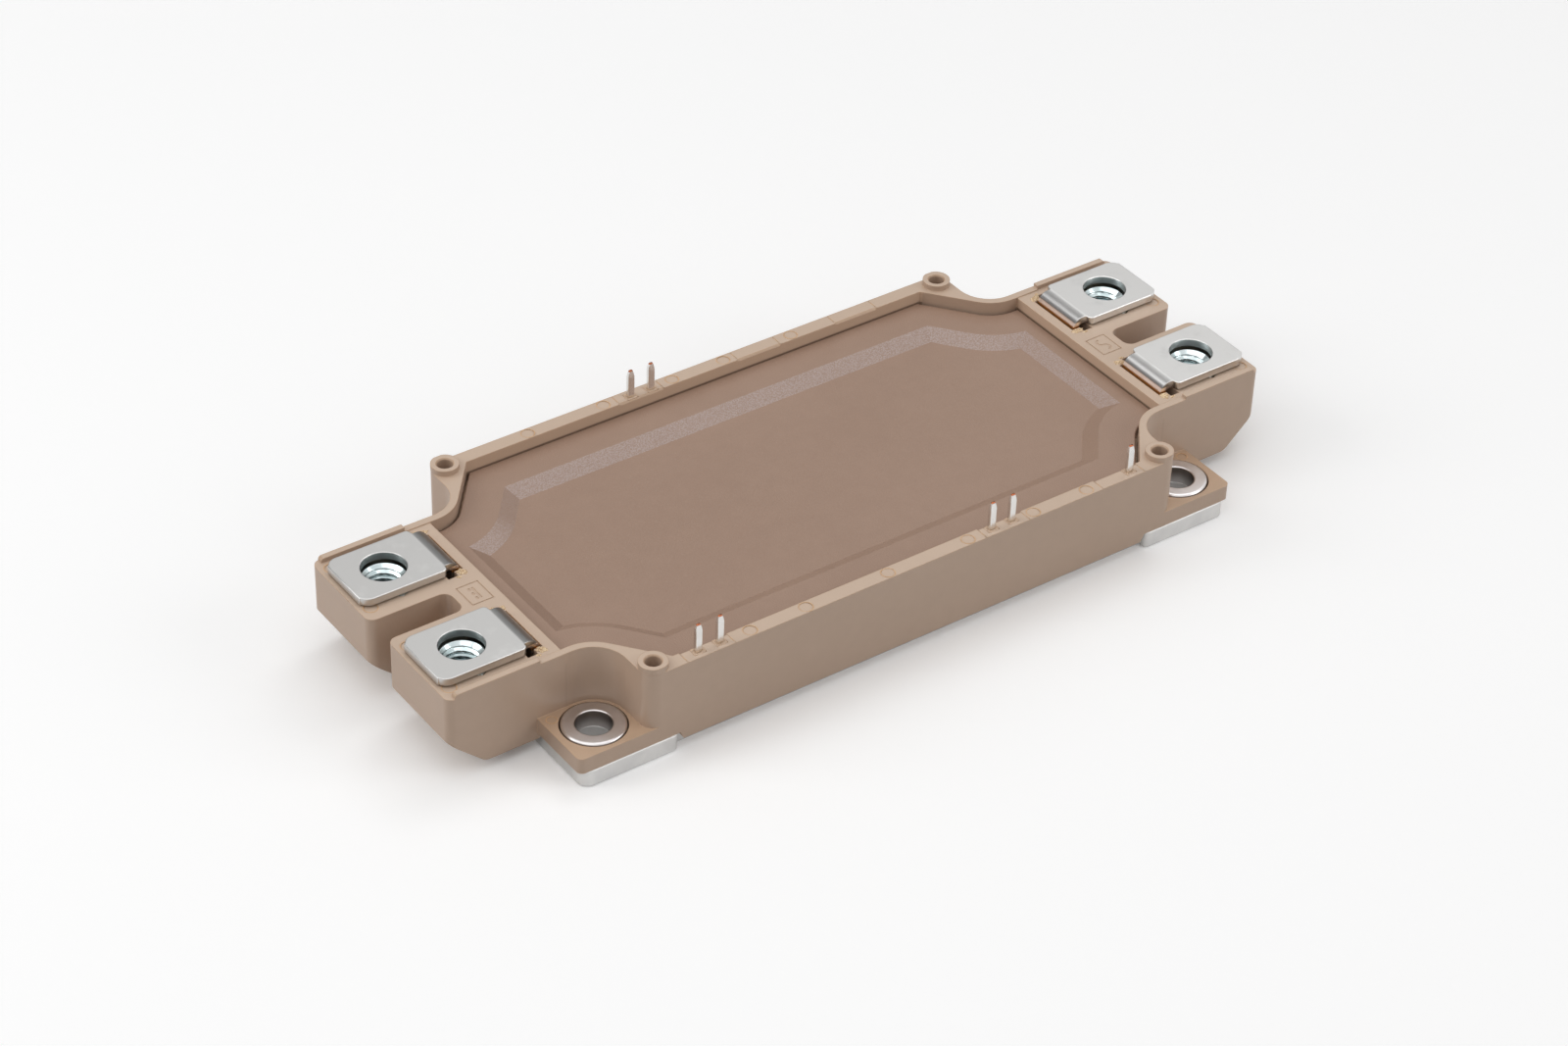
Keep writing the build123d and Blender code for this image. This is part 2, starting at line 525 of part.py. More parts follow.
# Lid: a plate whose sunken field has sloped sides, with the same shape on its underside
with BuildPart() as lid:
    lid_outline = plan(LEDGE_Z, PARTITION_X - LID_FIT, POCKET_Y - LID_FIT, POCKET_R + LID_CORNER_GAP)
    extrude(lid_outline, amount=LID_TOP - LEDGE_Z)
    chamfer(lid.faces().sort_by(Axis.Z)[-1].outer_wire().edges(), LID_EDGE)
    loft([field_plan(LEDGE_Z, 0), field_plan(LEDGE_Z - FIELD_DEPTH, FIELD_SLOPE)], ruled=True)
    field_top = [field_plan(LID_TOP, 0), field_plan(LID_TOP - FIELD_DEPTH, FIELD_SLOPE)]
    loft(field_top, ruled=True, mode=Mode.SUBTRACT)
save(lid.part, "lid")

# Bead of adhesive between the frame and the base plate
with BuildPart() as frame_adhesive:
    extrude(bead_plan(), amount=BEAD_H)
save(frame_adhesive.part, "frame_adhesive")

# Screw terminals: one copper strip each, with a head over the nut, a leg behind the block, a run
# on the end shelf and a foot on its track. A cross bar leads sideways to the phase feet.
terminals = []
for sx, sy, foot_y, name in TERMINAL_FEET:
    neck_y = sy * TERM_Y
    bar_ends = [foot_y - FOOT_W / 2, foot_y + FOOT_W / 2, neck_y - NECK_W / 2, neck_y + NECK_W / 2]
    with BuildPart() as terminal:
        with BuildSketch(Plane.XZ.offset(-neck_y)):
            with BuildLine() as strip:
                FilletPolyline((sx * TERM_END_X, TERM_MID_Z), (sx * LEG_X, TERM_MID_Z),
                               (sx * LEG_X, RUN_Z), (sx * RUN_END_X, RUN_Z), radius=LEG_BEND_R)
            trace(strip.line, TERM_T)
        extrude(amount=NECK_W / 2, both=True)
        with BuildSketch(Plane.XZ.offset(-foot_y)):
            with BuildLine() as step:
                FilletPolyline((sx * BAR_X, RUN_Z), (sx * STEP_X, RUN_Z),
                               (sx * STEP_X, FOOT_Z), (sx * FOOT_X, FOOT_Z), radius=STEP_BEND_R)
            trace(step.line, TERM_T)
        extrude(amount=FOOT_W / 2, both=True)
        with BuildSketch(Plane.XY.offset(SHELF_Z)):
            with Locations((sx * (RUN_END_X + BAR_X) / 2, (min(bar_ends) + max(bar_ends)) / 2)):
                Rectangle(BAR_X - RUN_END_X, max(bar_ends) - min(bar_ends))
        extrude(amount=TERM_T)
        neck_x = LEG_X + LEG_BEND_R
        with BuildSketch(Plane.XY.offset(TERM_TOP)) as head:
            with Locations((sx * (TERM_SHOULDER_X + TERM_END_X) / 2, neck_y)):
                Rectangle(TERM_END_X - TERM_SHOULDER_X, TERM_HEAD_W)
            with Locations((sx * (neck_x + TERM_END_X) / 2, neck_y)):
                Rectangle(TERM_END_X - neck_x, NECK_W)
            fillet([v for v in head.vertices() if abs(v.X) > TERM_X], TERM_HEAD_R)
            for width, radius in ((NECK_W, TERM_NOTCH_R), (TERM_HEAD_W, TERM_SHOULDER_R)):
                at_shoulder = [v for v in head.vertices() if neck_x + TERM_NOTCH_R < abs(v.X) < TERM_X]
                fillet([v for v in at_shoulder if abs(abs(v.Y - neck_y) - width / 2) < SLOT_GAP], radius)
        extrude(amount=-TERM_T)
        with BuildSketch(Plane.XY.offset(TERM_TOP)):
            with Locations((sx * TERM_X, neck_y)):
                Circle(TERM_HOLE_D / 2)
        extrude(amount=-TERM_T, mode=Mode.SUBTRACT)
    save(terminal.part, name)
    terminals.append(terminal.part)

# Nuts: hexagons with turned corners, a chamfered mouth and the thread's minor bore
with BuildPart() as one_nut:
    with BuildSketch():
        RegularPolygon(NUT_AF / 2, 6, major_radius=False, rotation=90)
    extrude(amount=NUT_H)
    with BuildSketch(Plane.XZ):
        with BuildLine():
            Polyline((0, 0), (NUT_AF / 2, 0), (NUT_CORNER_R, NUT_CORNER_DROP),
                     (NUT_CORNER_R, NUT_H - NUT_CORNER_DROP), (NUT_AF / 2, NUT_H), (0, NUT_H), close=True)
        make_face()
    revolve(axis=Axis.Z, mode=Mode.INTERSECT)
    with Locations((0, 0, NUT_H)):
        CounterSinkHole(NUT_BORE_D / 2, NUT_MOUTH_D / 2)
with BuildPart() as terminal_nuts:
    with Locations(*[(x, y, NUT_BOTTOM) for x, y in TERMINALS]):
        add(one_nut.part)
save(terminal_nuts.part, "terminal_nuts")

# Bushings in the mounting holes
with BuildPart() as bushings:
    with BuildSketch(Plane.XY.offset(PLATE_T)):
        with Locations(*MOUNTS):
            Circle(BUSHING_D / 2)
            Circle(MOUNT_BORE / 2, mode=Mode.SUBTRACT)
    extrude(amount=BUSHING_TOP - PLATE_T)
    for reach, width in ((BUSHING_D / 2, BUSHING_EDGE), (MOUNT_BORE / 2, BORE_CHAMFER)):
        rings = bushings.edges().filter_by(GeomType.CIRCLE).group_by(Axis.Z)[-1]
        chamfer([e for e in rings if abs(e.radius - reach) < BORE_CHAMFER / 2], width)
save(bushings.part, "bushings")

# Signal pins: a shaft with a tapered tip, and a foot that ends in a bond pad
with BuildPart() as one_pin:
    with BuildSketch(Plane.XY.offset(SHELF_Z)):
        Rectangle(PIN_W, PIN_T)
    extrude(amount=PIN_SHAFT_TOP - SHELF_Z)
    with BuildSketch(Plane.XY.offset(PIN_SHAFT_TOP)):
        Rectangle(PIN_W, PIN_T)
    with BuildSketch(Plane.XY.offset(PIN_TOP)):
        Rectangle(PIN_TIP_W, PIN_TIP_T)
    loft()
    with BuildSketch(Plane.XY.offset(SHELF_Z)):
        with Locations((0, PIN_FOOT_LENGTH / 2)):
            Rectangle(PIN_W, PIN_FOOT_LENGTH)
        with Locations((0, PIN_FOOT_LENGTH)):
            Rectangle(PIN_PAD_W, PIN_PAD_L)
    extrude(amount=PIN_T)
with BuildPart() as signal_pins:
    with Locations(*[Location((x, sy * PIN_Y, 0), (0, 0, 90 + sy * 90)) for x, sy in SIGNAL_PINS]):
        add(one_pin.part)
save(signal_pins.part, "signal_pins")

# Substrates: solder, back copper, ceramic and the tracks on top
with BuildPart() as substrate_solder:
    with BuildSketch(Plane.XY.offset(PLATE_T)):
        with Locations(*[(x, 0) for x in SUBSTRATES_X]):
            Rectangle(COPPER_X, COPPER_Y)
    extrude(amount=SOLDER_T)
save(substrate_solder.part, "substrate_solder")
with BuildPart() as substrate_back_copper:
    with BuildSketch(Plane.XY.offset(PLATE_T + SOLDER_T)):
        with Locations(*[(x, 0) for x in SUBSTRATES_X]):
            Rectangle(COPPER_X, COPPER_Y)
    extrude(amount=COPPER_T)
save(substrate_back_copper.part, "substrate_back_copper")
with BuildPart() as substrate_ceramic:
    with BuildSketch(Plane.XY.offset(CERAMIC_TOP)):
        with Locations(*[(x, 0) for x in SUBSTRATES_X]):
            Rectangle(CERAMIC_X, CERAMIC_Y)
    extrude(amount=-CERAMIC_T)
save(substrate_ceramic.part, "substrate_ceramic")
with BuildPart() as substrate_tracks:
    with BuildSketch(Plane.XY.offset(CERAMIC_TOP)):
        for y0, y1 in (PLUS_TRACK, PHASE_TRACK, MINUS_TRACK, *GATE_TRACKS):
            with Locations(*[(x, (y0 + y1) / 2) for x in SUBSTRATES_X]):
                Rectangle(COPPER_X, y1 - y0)
    extrude(amount=COPPER_T)
save(substrate_tracks.part, "substrate_tracks")

# Chips on their solder: a transistor and a diode on each of the two switch tracks
igbt_places = [(x, y) for x in IGBTS_X for y in (HIGH_CHIPS_Y, LOW_CHIPS_Y)]
diode_places = [(x, y) for x in DIODES_X for y in (HIGH_CHIPS_Y, LOW_CHIPS_Y)]
with BuildPart() as chip_solder:
    with BuildSketch(Plane.XY.offset(COPPER_TOP)):
        with Locations(*igbt_places):
            Rectangle(*IGBT_SIZE)
        with Locations(*diode_places):
            Rectangle(*DIODE_SIZE)
    extrude(amount=CHIP_SOLDER_T)
save(chip_solder.part, "chip_solder")
with BuildPart() as igbt_chips:
    with BuildSketch(Plane.XY.offset(COPPER_TOP + CHIP_SOLDER_T)):
        with Locations(*igbt_places):
            Rectangle(*IGBT_SIZE)
    extrude(amount=CHIP_T)
save(igbt_chips.part, "igbt_chips")
with BuildPart() as diode_chips:
    with BuildSketch(Plane.XY.offset(COPPER_TOP + CHIP_SOLDER_T)):
        with Locations(*diode_places):
            Rectangle(*DIODE_SIZE)
    extrude(amount=CHIP_T)
save(diode_chips.part, "diode_chips")

# Ribbons from the chips to the next track
ribbons_x = [x + i * RIBBON_PITCH for x in IGBTS_X for i in (-1, 0, 1)]
ribbons_x += [x + side * RIBBON_PITCH / 2 for x in DIODES_X for side in ENDS]
with BuildPart() as ribbon_bonds:
    for y in (HIGH_CHIPS_Y, LOW_CHIPS_Y):
        chip, landing = (0, y, CHIP_TOP), (0, y - RIBBON_REACH, COPPER_TOP)
        ribbon = bond_face(chip, landing, RIBBON_FOOT, RIBBON_RISE, RIBBON_T)
        with Locations(*[(x, 0, 0) for x in ribbons_x]):
            add(extrude(ribbon, amount=RIBBON_W / 2, both=True, mode=Mode.PRIVATE))
save(ribbon_bonds.part, "ribbon_bonds")

# Signal bonds: from the pins' pads to the outer tracks, and from the chips' gates
pad_top = SHELF_Z + PIN_T
bonds = [((x, sy * PIN_FOOT_Y, pad_top), (landing, sy * SIGNAL_LANDING_Y, COPPER_TOP))
         for (x, sy), landing in zip(SIGNAL_PINS, SIGNAL_LANDINGS_X)]
for x in GATES_X:
    bonds.append(((x, HIGH_CHIPS_Y + GATE_Y, CHIP_TOP), (x, sum(GATE_TRACKS[0]) / 2, COPPER_TOP)))
    bonds.append(((x, LOW_CHIPS_Y - GATE_Y, CHIP_TOP), (x, sum(GATE_TRACKS[2]) / 2, COPPER_TOP)))
with BuildPart() as signal_bonds:
    for start, end in bonds:
        bond = bond_face(start, end, SIGNAL_BOND_W, SIGNAL_BOND_RISE, SIGNAL_BOND_W)
        extrude(bond, amount=SIGNAL_BOND_W / 2, both=True)
save(signal_bonds.part, "signal_bonds")

# Thermistor: a small chip that bridges the two front gate tracks
with BuildPart() as thermistor:
    with BuildSketch(Plane.XY.offset(COPPER_TOP)):
        with Locations((THERMISTOR_X, THERMISTOR_Y)):
            Rectangle(THERMISTOR_W, THERMISTOR_L)
    extrude(amount=THERMISTOR_H)
save(thermistor.part, "thermistor")

# Gel: fills the frame up to its level, around everything that stands in it
soaked = [substrate_solder, substrate_back_copper, substrate_ceramic, substrate_tracks, chip_solder,
          igbt_chips, diode_chips, ribbon_bonds, signal_bonds, signal_pins, thermistor]
with BuildPart() as silicone_gel:
    extrude(floor_plan(PLATE_T, 0), amount=SHELF_Z - PLATE_T)
    extrude(inside_plan(SHELF_Z, LEDGE_W, LEDGE_W), amount=GEL_TOP - SHELF_Z)
    add([piece.part for piece in soaked] + terminals, mode=Mode.SUBTRACT)
save(silicone_gel.part, "silicone_gel")
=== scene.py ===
# %% [markdown]
# # A half-bridge transistor module
# The real thing is a flat power module about 15 cm long: a tan moulded frame on a nickel-plated
# copper base, a brown lid sunk into the frame, four tin-plated screw terminals over zinc-coated
# nuts, four steel bushings and seven thin solder pins. Its solids come ready from CAD. This
# notebook gives each of them its finish and replaces the ones whose small forms show: the nuts
# with their threads, the turned bushings, the pins and the bent terminals.

# %% Load the frame
import json
from math import radians

import bmesh
import bpy
import numpy as np
from mathutils import Matrix, Vector


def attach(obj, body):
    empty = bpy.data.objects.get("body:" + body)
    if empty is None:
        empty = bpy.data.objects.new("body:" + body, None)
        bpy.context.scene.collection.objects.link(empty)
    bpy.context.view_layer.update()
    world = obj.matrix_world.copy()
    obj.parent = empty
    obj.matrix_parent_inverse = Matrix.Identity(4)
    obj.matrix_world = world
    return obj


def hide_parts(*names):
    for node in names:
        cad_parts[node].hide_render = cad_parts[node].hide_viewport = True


MM = 0.001
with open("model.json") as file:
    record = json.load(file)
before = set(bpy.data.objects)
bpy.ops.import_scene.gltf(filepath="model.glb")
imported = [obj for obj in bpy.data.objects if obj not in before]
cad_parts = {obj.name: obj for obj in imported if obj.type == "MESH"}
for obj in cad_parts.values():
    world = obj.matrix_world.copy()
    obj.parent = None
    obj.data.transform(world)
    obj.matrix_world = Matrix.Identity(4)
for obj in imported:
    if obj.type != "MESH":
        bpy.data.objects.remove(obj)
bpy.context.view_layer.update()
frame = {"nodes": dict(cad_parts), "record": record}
nodes = frame["nodes"]

# %% [markdown]
# ## Shader arithmetic
# A finish is a formula over the surface, so it reads best as one. `Flow` wraps a socket of a
# shader tree: arithmetic on it adds Math nodes, and `node` adds any other node with its settings
# first and then its sockets. Colours never go through Math nodes, which would turn them grey.

# %% A socket with operators
class Flow:
    """A socket of a shader tree, with arithmetic that adds Math nodes to the same tree."""

    def __init__(self, tree, socket=None):
        self.tree = tree
        self.socket = socket

    def node(self, kind, settings=None, sockets=None, output=0):
        """Adds a node of that kind: settings first, then values or links of its sockets."""
        made = self.tree.nodes.new(kind)
        for name, value in (settings or {}).items():
            if name == "stops":
                ramp = made.color_ramp
                for place, colour in value[1:-1]:
                    ramp.elements.new(place).color = colour
                ramp.elements[0].position, ramp.elements[0].color = value[0]
                ramp.elements[-1].position, ramp.elements[-1].color = value[-1]
            else:
                setattr(made, name, value)
        for name, value in (sockets or {}).items():
            if isinstance(value, Flow):
                self.tree.links.new(value.socket, made.inputs[name])
            else:
                made.inputs[name].default_value = value
        return Flow(self.tree, made.outputs[output])

    def math(self, operation, *values):
        """A Math node on these values or links, in order."""
        sockets = dict(enumerate(values))
        return self.node("ShaderNodeMath", {"operation": operation}, sockets)

    def __add__(self, other):
        return self.math("ADD", self, other)

    def __sub__(self, other):
        return self.math("SUBTRACT", self, other)

    def __rsub__(self, other):
        return self.math("SUBTRACT", other, self)

    def __mul__(self, other):
        return self.math("MULTIPLY", self, other)

    def __truediv__(self, other):
        return self.math("DIVIDE", self, other)

    def __abs__(self):
        return self.math("ABSOLUTE", self)

    __radd__ = __add__
    __rmul__ = __mul__

    def step(self, low, high):
        """0 below low, 1 above high, and a smooth rise between."""
        settings = {"interpolation_type": "SMOOTHSTEP"}
        return self.node("ShaderNodeMapRange", settings, {"Value": self, "From Min": low, "From Max": high})

    def fall(self, low, high):
        """1 below low, 0 above high, and a smooth fall between."""
        return 1 - self.step(low, high)

    def blend(self, first, second):
        """The first colour where this value is 0 and the second where it is 1."""
        settings = {"data_type": "RGBA", "clamp_factor": True}
        return self.node("ShaderNodeMix", settings, {0: self, 6: first, 7: second}, 2)

    def axes(self):
        """The three numbers of a vector, as three flows."""
        split = self.node("ShaderNodeSeparateXYZ", None, {0: self})
        return [Flow(self.tree, socket) for socket in split.socket.node.outputs]


def tint(red, green, blue):
    """A screen colour, 0 to 255, as the linear colour that a shader works with."""
    screen = np.array((red, green, blue)) / 255
    linear = np.where(screen <= 0.04045, screen / 12.92, ((screen + 0.055) / 1.055) ** 2.4)
    return (*linear.tolist(), 1.0)


def finish_of(name, **fixed):
    """A new material with one Principled shader. Returns the material, its tree's flow and a setter."""
    material = bpy.data.materials.new(name)
    material.use_nodes = True
    tree = material.node_tree
    shader = tree.nodes["Principled BSDF"]
    flow = Flow(tree)

    def put(**sockets):
        for words, value in sockets.items():
            socket = shader.inputs[words.replace("_", " ").title().replace("Ior", "IOR")]
            if isinstance(value, Flow):
                tree.links.new(value.socket, socket)
            else:
                socket.default_value = value
    put(**fixed)
    return material, flow, put


def grain(flow, where, size, detail=2.0, stretch=None):
    """Noise from 0 to 1 with bumps of about that size in metres, longer along a stretched axis."""
    if stretch:
        where = flow.node("ShaderNodeMapping", None, {"Vector": where, "Scale": stretch})
    return flow.node("ShaderNodeTexNoise", None, {"Vector": where, "Scale": 1 / size, "Detail": detail})


def relief(flow, height, depth, normal=None):
    """A Bump node: the height's unit stands this many metres high."""
    sockets = {"Height": height, "Distance": depth, "Strength": 1.0}
    if normal:
        sockets["Normal"] = normal
    return flow.node("ShaderNodeBump", None, sockets)


def edge_round(flow, radius):
    """The normal of the surface as if its edges were rounded, and a mask that is 1 on them."""
    soft = flow.node("ShaderNodeBevel", {"samples": 6}, {"Radius": radius})
    sharp = flow.node("ShaderNodeNewGeometry", None, None, 3)
    same = flow.node("ShaderNodeVectorMath", {"operation": "DOT_PRODUCT"}, {0: soft, 1: sharp}, 1)
    return soft, (1 - same).step(0.005, 0.12)


def here(flow):
    """The place on the piece, in metres in the part's own frame."""
    return flow.node("ShaderNodeTexCoord", None, None, 3)


print("shader tools ready")

# %% [markdown]
# ## Surfaces from arrays
# The nuts, bushings, pins, crumbs, collars and rings are surfaces over two parameters: numpy works
# out a whole grid of points at once, and `woven` hands it to Blender as quads. A ring that closes in
# both directions needs no caps, so a bushing or a nut is one such grid.

# %% From a grid of points to a mesh
def woven(name, sheets, material, close_rows, close_columns):
    """One object from grids of points (rows, columns, 3): neighbours make a quad, and a closed
    direction joins its last line to its first. An open row end is closed by one face."""
    points, quads, caps, start = [], [], [], 0
    for sheet in sheets:
        rows, columns = sheet.shape[:2]
        number = start + np.arange(rows * columns).reshape(rows, columns)
        down = number if close_rows else number[:-1]
        below = np.roll(number, -1, 0) if close_rows else number[1:]
        across = slice(None) if close_columns else slice(0, -1)
        corners = (down, np.roll(down, -1, 1), np.roll(below, -1, 1), below)
        quads.append(np.stack([corner[:, across] for corner in corners], -1).reshape(-1, 4))
        if close_columns and not close_rows:
            caps += [number[0][::-1].tolist(), number[-1].tolist()]
        points.append(sheet.reshape(-1, 3))
        start += rows * columns
    mesh = bpy.data.meshes.new(name)
    mesh.from_pydata(np.concatenate(points), [], np.concatenate(quads).tolist() + caps)
    tidy = bmesh.new()
    tidy.from_mesh(mesh)
    bmesh.ops.recalc_face_normals(tidy, faces=tidy.faces)
    tidy.to_mesh(mesh)
    tidy.free()
    mesh.shade_smooth()
    mesh.materials.append(material)
    piece = bpy.data.objects.new(name, mesh)
    bpy.context.scene.collection.objects.link(piece)
    return piece


def stands_for(piece, slot, *names):
    """The piece rides on the module and stands for these CAD nodes, which it hides. The slot is not used."""
    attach(piece, "root")
    if names:
        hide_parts(*names)
    print(piece.name, "faces:", len(piece.data.polygons))


QUARTERS = np.array([(sx, sy) for sx in (-1, 1) for sy in (-1, 1)])
print("surface tools ready")

# %% [markdown]
# ## Moulded plastic
# Frame and lid are the same glass-filled thermoplastic. The frame's mould was polished, so its
# faces are almost glossy, with faint flow marks; a painted highlight pales its edges and a painted
# sheen its top and upright faces. The lid's mould was spark-eroded, which leaves a matt, finely
# speckled skin; its slopes look greyer through a painted sheen, and its edges carry a painted highlight.

# %% The frame's plastic
def frame_plastic():
    material, flow, put = finish_of("frame_plastic", specular_ior_level=0.5)
    where = here(flow)
    soft, rim = edge_round(flow, 0.25 * MM)
    flows = grain(flow, where, 16 * MM, 3.0, (0.5, 1, 1.6))
    mottle = grain(flow, where, 2.2 * MM, 4.0)
    specks = grain(flow, where, 0.22 * MM, 1.0).step(0.72, 0.80)
    body = (flows * 0.5 + mottle * 0.5).step(0.25, 0.75).blend(tint(188, 159, 133), tint(194, 165, 139))
    body = (specks * 0.25).blend(body, tint(206, 182, 160))
    over = flow.node("ShaderNodeNewGeometry", None, None, 3).axes()[2]
    # Painted sheen: the top faces above 12 mm, on the rim and the blocks, are paler.
    painted_top_sheen = over.step(0.9, 0.98) * where.axes()[2].step(12 * MM, 13 * MM)
    body = (painted_top_sheen * 0.35).blend(body, tint(214, 198, 184))
    # Painted sheen: upright faces are a little greyer.
    body = (abs(over).fall(0.1, 0.3) * 0.2).blend(body, tint(182, 170, 168))
    x, y, z = where.axes()
    # The walls round the lid, at y 28.4 and x 56.2 mm, get painted light above its top at
    # 13.5 mm, where light comes back from it, and a dark line of painted shade at its edge.
    long_walls = abs(y).step(27.9 * MM, 28.1 * MM) * abs(y).fall(28.6 * MM, 28.7 * MM)
    long_walls = long_walls * abs(x).fall(44 * MM, 45 * MM)
    end_walls = abs(x).step(55.9 * MM, 56.1 * MM) * abs(x).fall(56.25 * MM, 56.35 * MM)
    end_walls = end_walls * abs(y).fall(18 * MM, 20 * MM)
    pocket = (long_walls + end_walls) * abs(over).fall(0.1, 0.3)
    body = (pocket * z.step(13.6 * MM, 13.75 * MM) * 0.4).blend(body, tint(224, 194, 166))
    body = (pocket * z.fall(13.55 * MM, 13.75 * MM) * 0.6).blend(body, tint(110, 84, 66))
    # Painted highlight: the rounded edges are paler.
    body = (rim * 0.6).blend(body, tint(222, 186, 152))
    put(base_color=body, roughness=0.27 + mottle * 0.14)
    skin = grain(flow, where, 0.45 * MM, 2.0) + grain(flow, where, 0.14 * MM, 1.0) * 0.4
    put(normal=relief(flow, skin, 0.012 * MM, soft))
    return material


def torn_plastic():
    """The pale, rough inside of the moulding, where it is torn."""
    material, flow, put = finish_of("torn_plastic", specular_ior_level=0.3)
    where = here(flow)
    crumbs = grain(flow, where, 0.25 * MM, 3.0)
    body = crumbs.step(0.35, 0.65).blend(tint(190, 156, 120), tint(240, 216, 180))
    put(base_color=body, roughness=0.6 + crumbs * 0.2)
    put(normal=relief(flow, crumbs, 0.06 * MM))
    return material


plastic, torn = frame_plastic(), torn_plastic()
print("made", plastic.name, torn.name)


# %% The lid's matt plastic
def lid_plastic():
    material, flow, put = finish_of("lid_plastic", specular_ior_level=0.45)
    where = here(flow)
    soft, rim = edge_round(flow, 0.15 * MM)
    x, y, z = where.axes()
    clouds = grain(flow, where, 26 * MM, 2.0)
    mottle = grain(flow, where, 3 * MM, 3.0)
    # Painted shade: the lid darkens towards the walls round it, most in a thin line along the long walls.
    wall_shade = abs(y).step(25.5 * MM, 28.4 * MM) * 0.25 + abs(x).step(54.6 * MM, 56.2 * MM) * 0.25
    wall_shade = wall_shade + abs(y).step(28.25 * MM, 28.35 * MM) * 0.4
    speck = grain(flow, where, 0.16 * MM, 0.0).step(0.72, 0.80)
    body = (clouds * 0.6 + mottle * 0.4).step(0.25, 0.75).blend(tint(154, 126, 108), tint(160, 132, 114))
    body = wall_shade.blend(body, tint(126, 99, 82))
    body = (speck * 0.15).blend(body, tint(190, 172, 158))
    # Painted highlight: the lid's edges are paler.
    body = (rim * 0.3).blend(body, tint(180, 150, 128))
    aside, ahead, over = flow.node("ShaderNodeNewGeometry", None, None, 3).axes()
    # Painted sheen and glints on the slopes facing front or left; painted shade on those facing right.
    far_side = (0 - ahead).step(0.1, 0.3) * aside.fall(0.2, 0.5)
    right_side = (0 - aside).step(0.1, 0.3) * ahead.fall(0.02, 0.1) * 0.9
    sheen_glints = grain(flow, where, 0.2 * MM, 1.0).step(0.36, 0.66) * 1.1 + 0.45
    sheen = far_side.math("MAXIMUM", far_side, right_side) * over.step(0.7, 0.8) * sheen_glints * 0.46
    body = sheen.blend(body, tint(187, 171, 167))
    body = (aside.step(0.3, 0.45) * 0.3).blend(body, tint(126, 98, 82))
    put(base_color=body, roughness=0.34 + mottle * 0.10)
    erosion = grain(flow, where, 0.26 * MM, 1.5)
    put(normal=relief(flow, erosion, 0.05 * MM, soft))
    return material


matt = lid_plastic()
print("made", matt.name)

# %% [markdown]
# ## Metals
# All metals here are plain plated or turned surfaces: what tells them apart is the colour of
# their reflection and the size of their grain. Each is metallic, with roughness that changes a
# little over the surface and a shallow relief along the direction in which it was worked.


# %% Plated and turned metals
TERMINAL_X, TERMINAL_Y = 68.5, 11.0
MOUNT_X, MOUNT_Y = 55.0, 25.0


def turned_marks(flow, where, x, y, size):
    """Fine rings about the upright axes at (x, y) in all four quarters: noise over the radius."""
    across, along, up = where.axes()
    places = flow.node("ShaderNodeCombineXYZ", None, {0: abs(across) - x, 1: abs(along) - y})
    radius = flow.node("ShaderNodeVectorMath", {"operation": "LENGTH"}, {0: places}, 1)
    ring = flow.node("ShaderNodeCombineXYZ", None, {0: radius, 1: up * 0.02})
    return grain(flow, ring, size, 2.0)


def metal(name, pale, dark, rough, worked, worked_size, depth, edge=0.15 * MM, patch=3 * MM,
          centre=None, cuts_and_painted_light=None, light_drift=0.0, curl=None):
    """A metal finish: two close tones in patches, and fine tool marks along one axis or round a
    centre. Where the cuts_and_painted_light function gives 1, another colour shows, such as a cut in
    the plating, painted shade in a bore or a painted dark reflection on a bend. The light_drift makes
    the tone paler towards +X, as painted light; the curl function gives a gentle hollow or swell."""
    material, flow, put = finish_of(name, metallic=1.0)
    where = here(flow)
    soft, rim = edge_round(flow, edge)
    patches = grain(flow, where, patch, 3.0)
    if centre:
        marks = turned_marks(flow, where, *centre, worked_size)
    else:
        marks = grain(flow, where, worked_size, 3.0, worked)
    x, y, z = where.axes()
    # Painted light: the tone grows paler towards +X by the light drift.
    body = (patches + x * light_drift).step(0.25, 0.75).blend(tint(*dark), tint(*pale))
    # Painted highlight: the edges turn pale.
    body = (rim * 0.4).blend(body, tint(240, 238, 236))
    if cuts_and_painted_light:
        mask, colour = cuts_and_painted_light(x, y, z)
        body = mask.blend(body, colour)
    put(base_color=body, roughness=rough + patches * 0.06 - rim * 0.08)
    if curl:
        soft = relief(flow, curl(x, y, z), 1.0, soft)
    put(normal=relief(flow, marks, depth, soft))
    return material


def cut_tips(x, y, z):
    """The pins' sheared ends, above 20.3 mm, where the copper shows."""
    return z.step(20.28 * MM, 20.42 * MM), tint(182, 108, 74)


def slot_edges(x, y, z):
    """The strips' scraped line at the top of the slot, where copper shines through, with a paler
    rubbed band above it, and over that a painted dark reflection on the bend."""
    line = z.step(14.9 * MM, 15.3 * MM) * z.fall(15.45 * MM, 15.7 * MM)
    band = z.step(15.45 * MM, 15.7 * MM) * z.fall(16.1 * MM, 16.25 * MM)
    above = z.step(16.1 * MM, 16.25 * MM)
    colour = band.blend(tint(236, 184, 116), tint(252, 238, 232))
    scraped = (line + band * 0.8) * abs(x).fall(60 * MM, 60.2 * MM)
    # Painted dark reflection on the bend above 16.1 mm.
    bend_reflection = above * abs(x).fall(59.3 * MM, 60.8 * MM) * (z.fall(16.5 * MM, 16.75 * MM) * 0.3 + 0.55)
    return scraped + bend_reflection, above.blend(colour, tint(122, 121, 121))


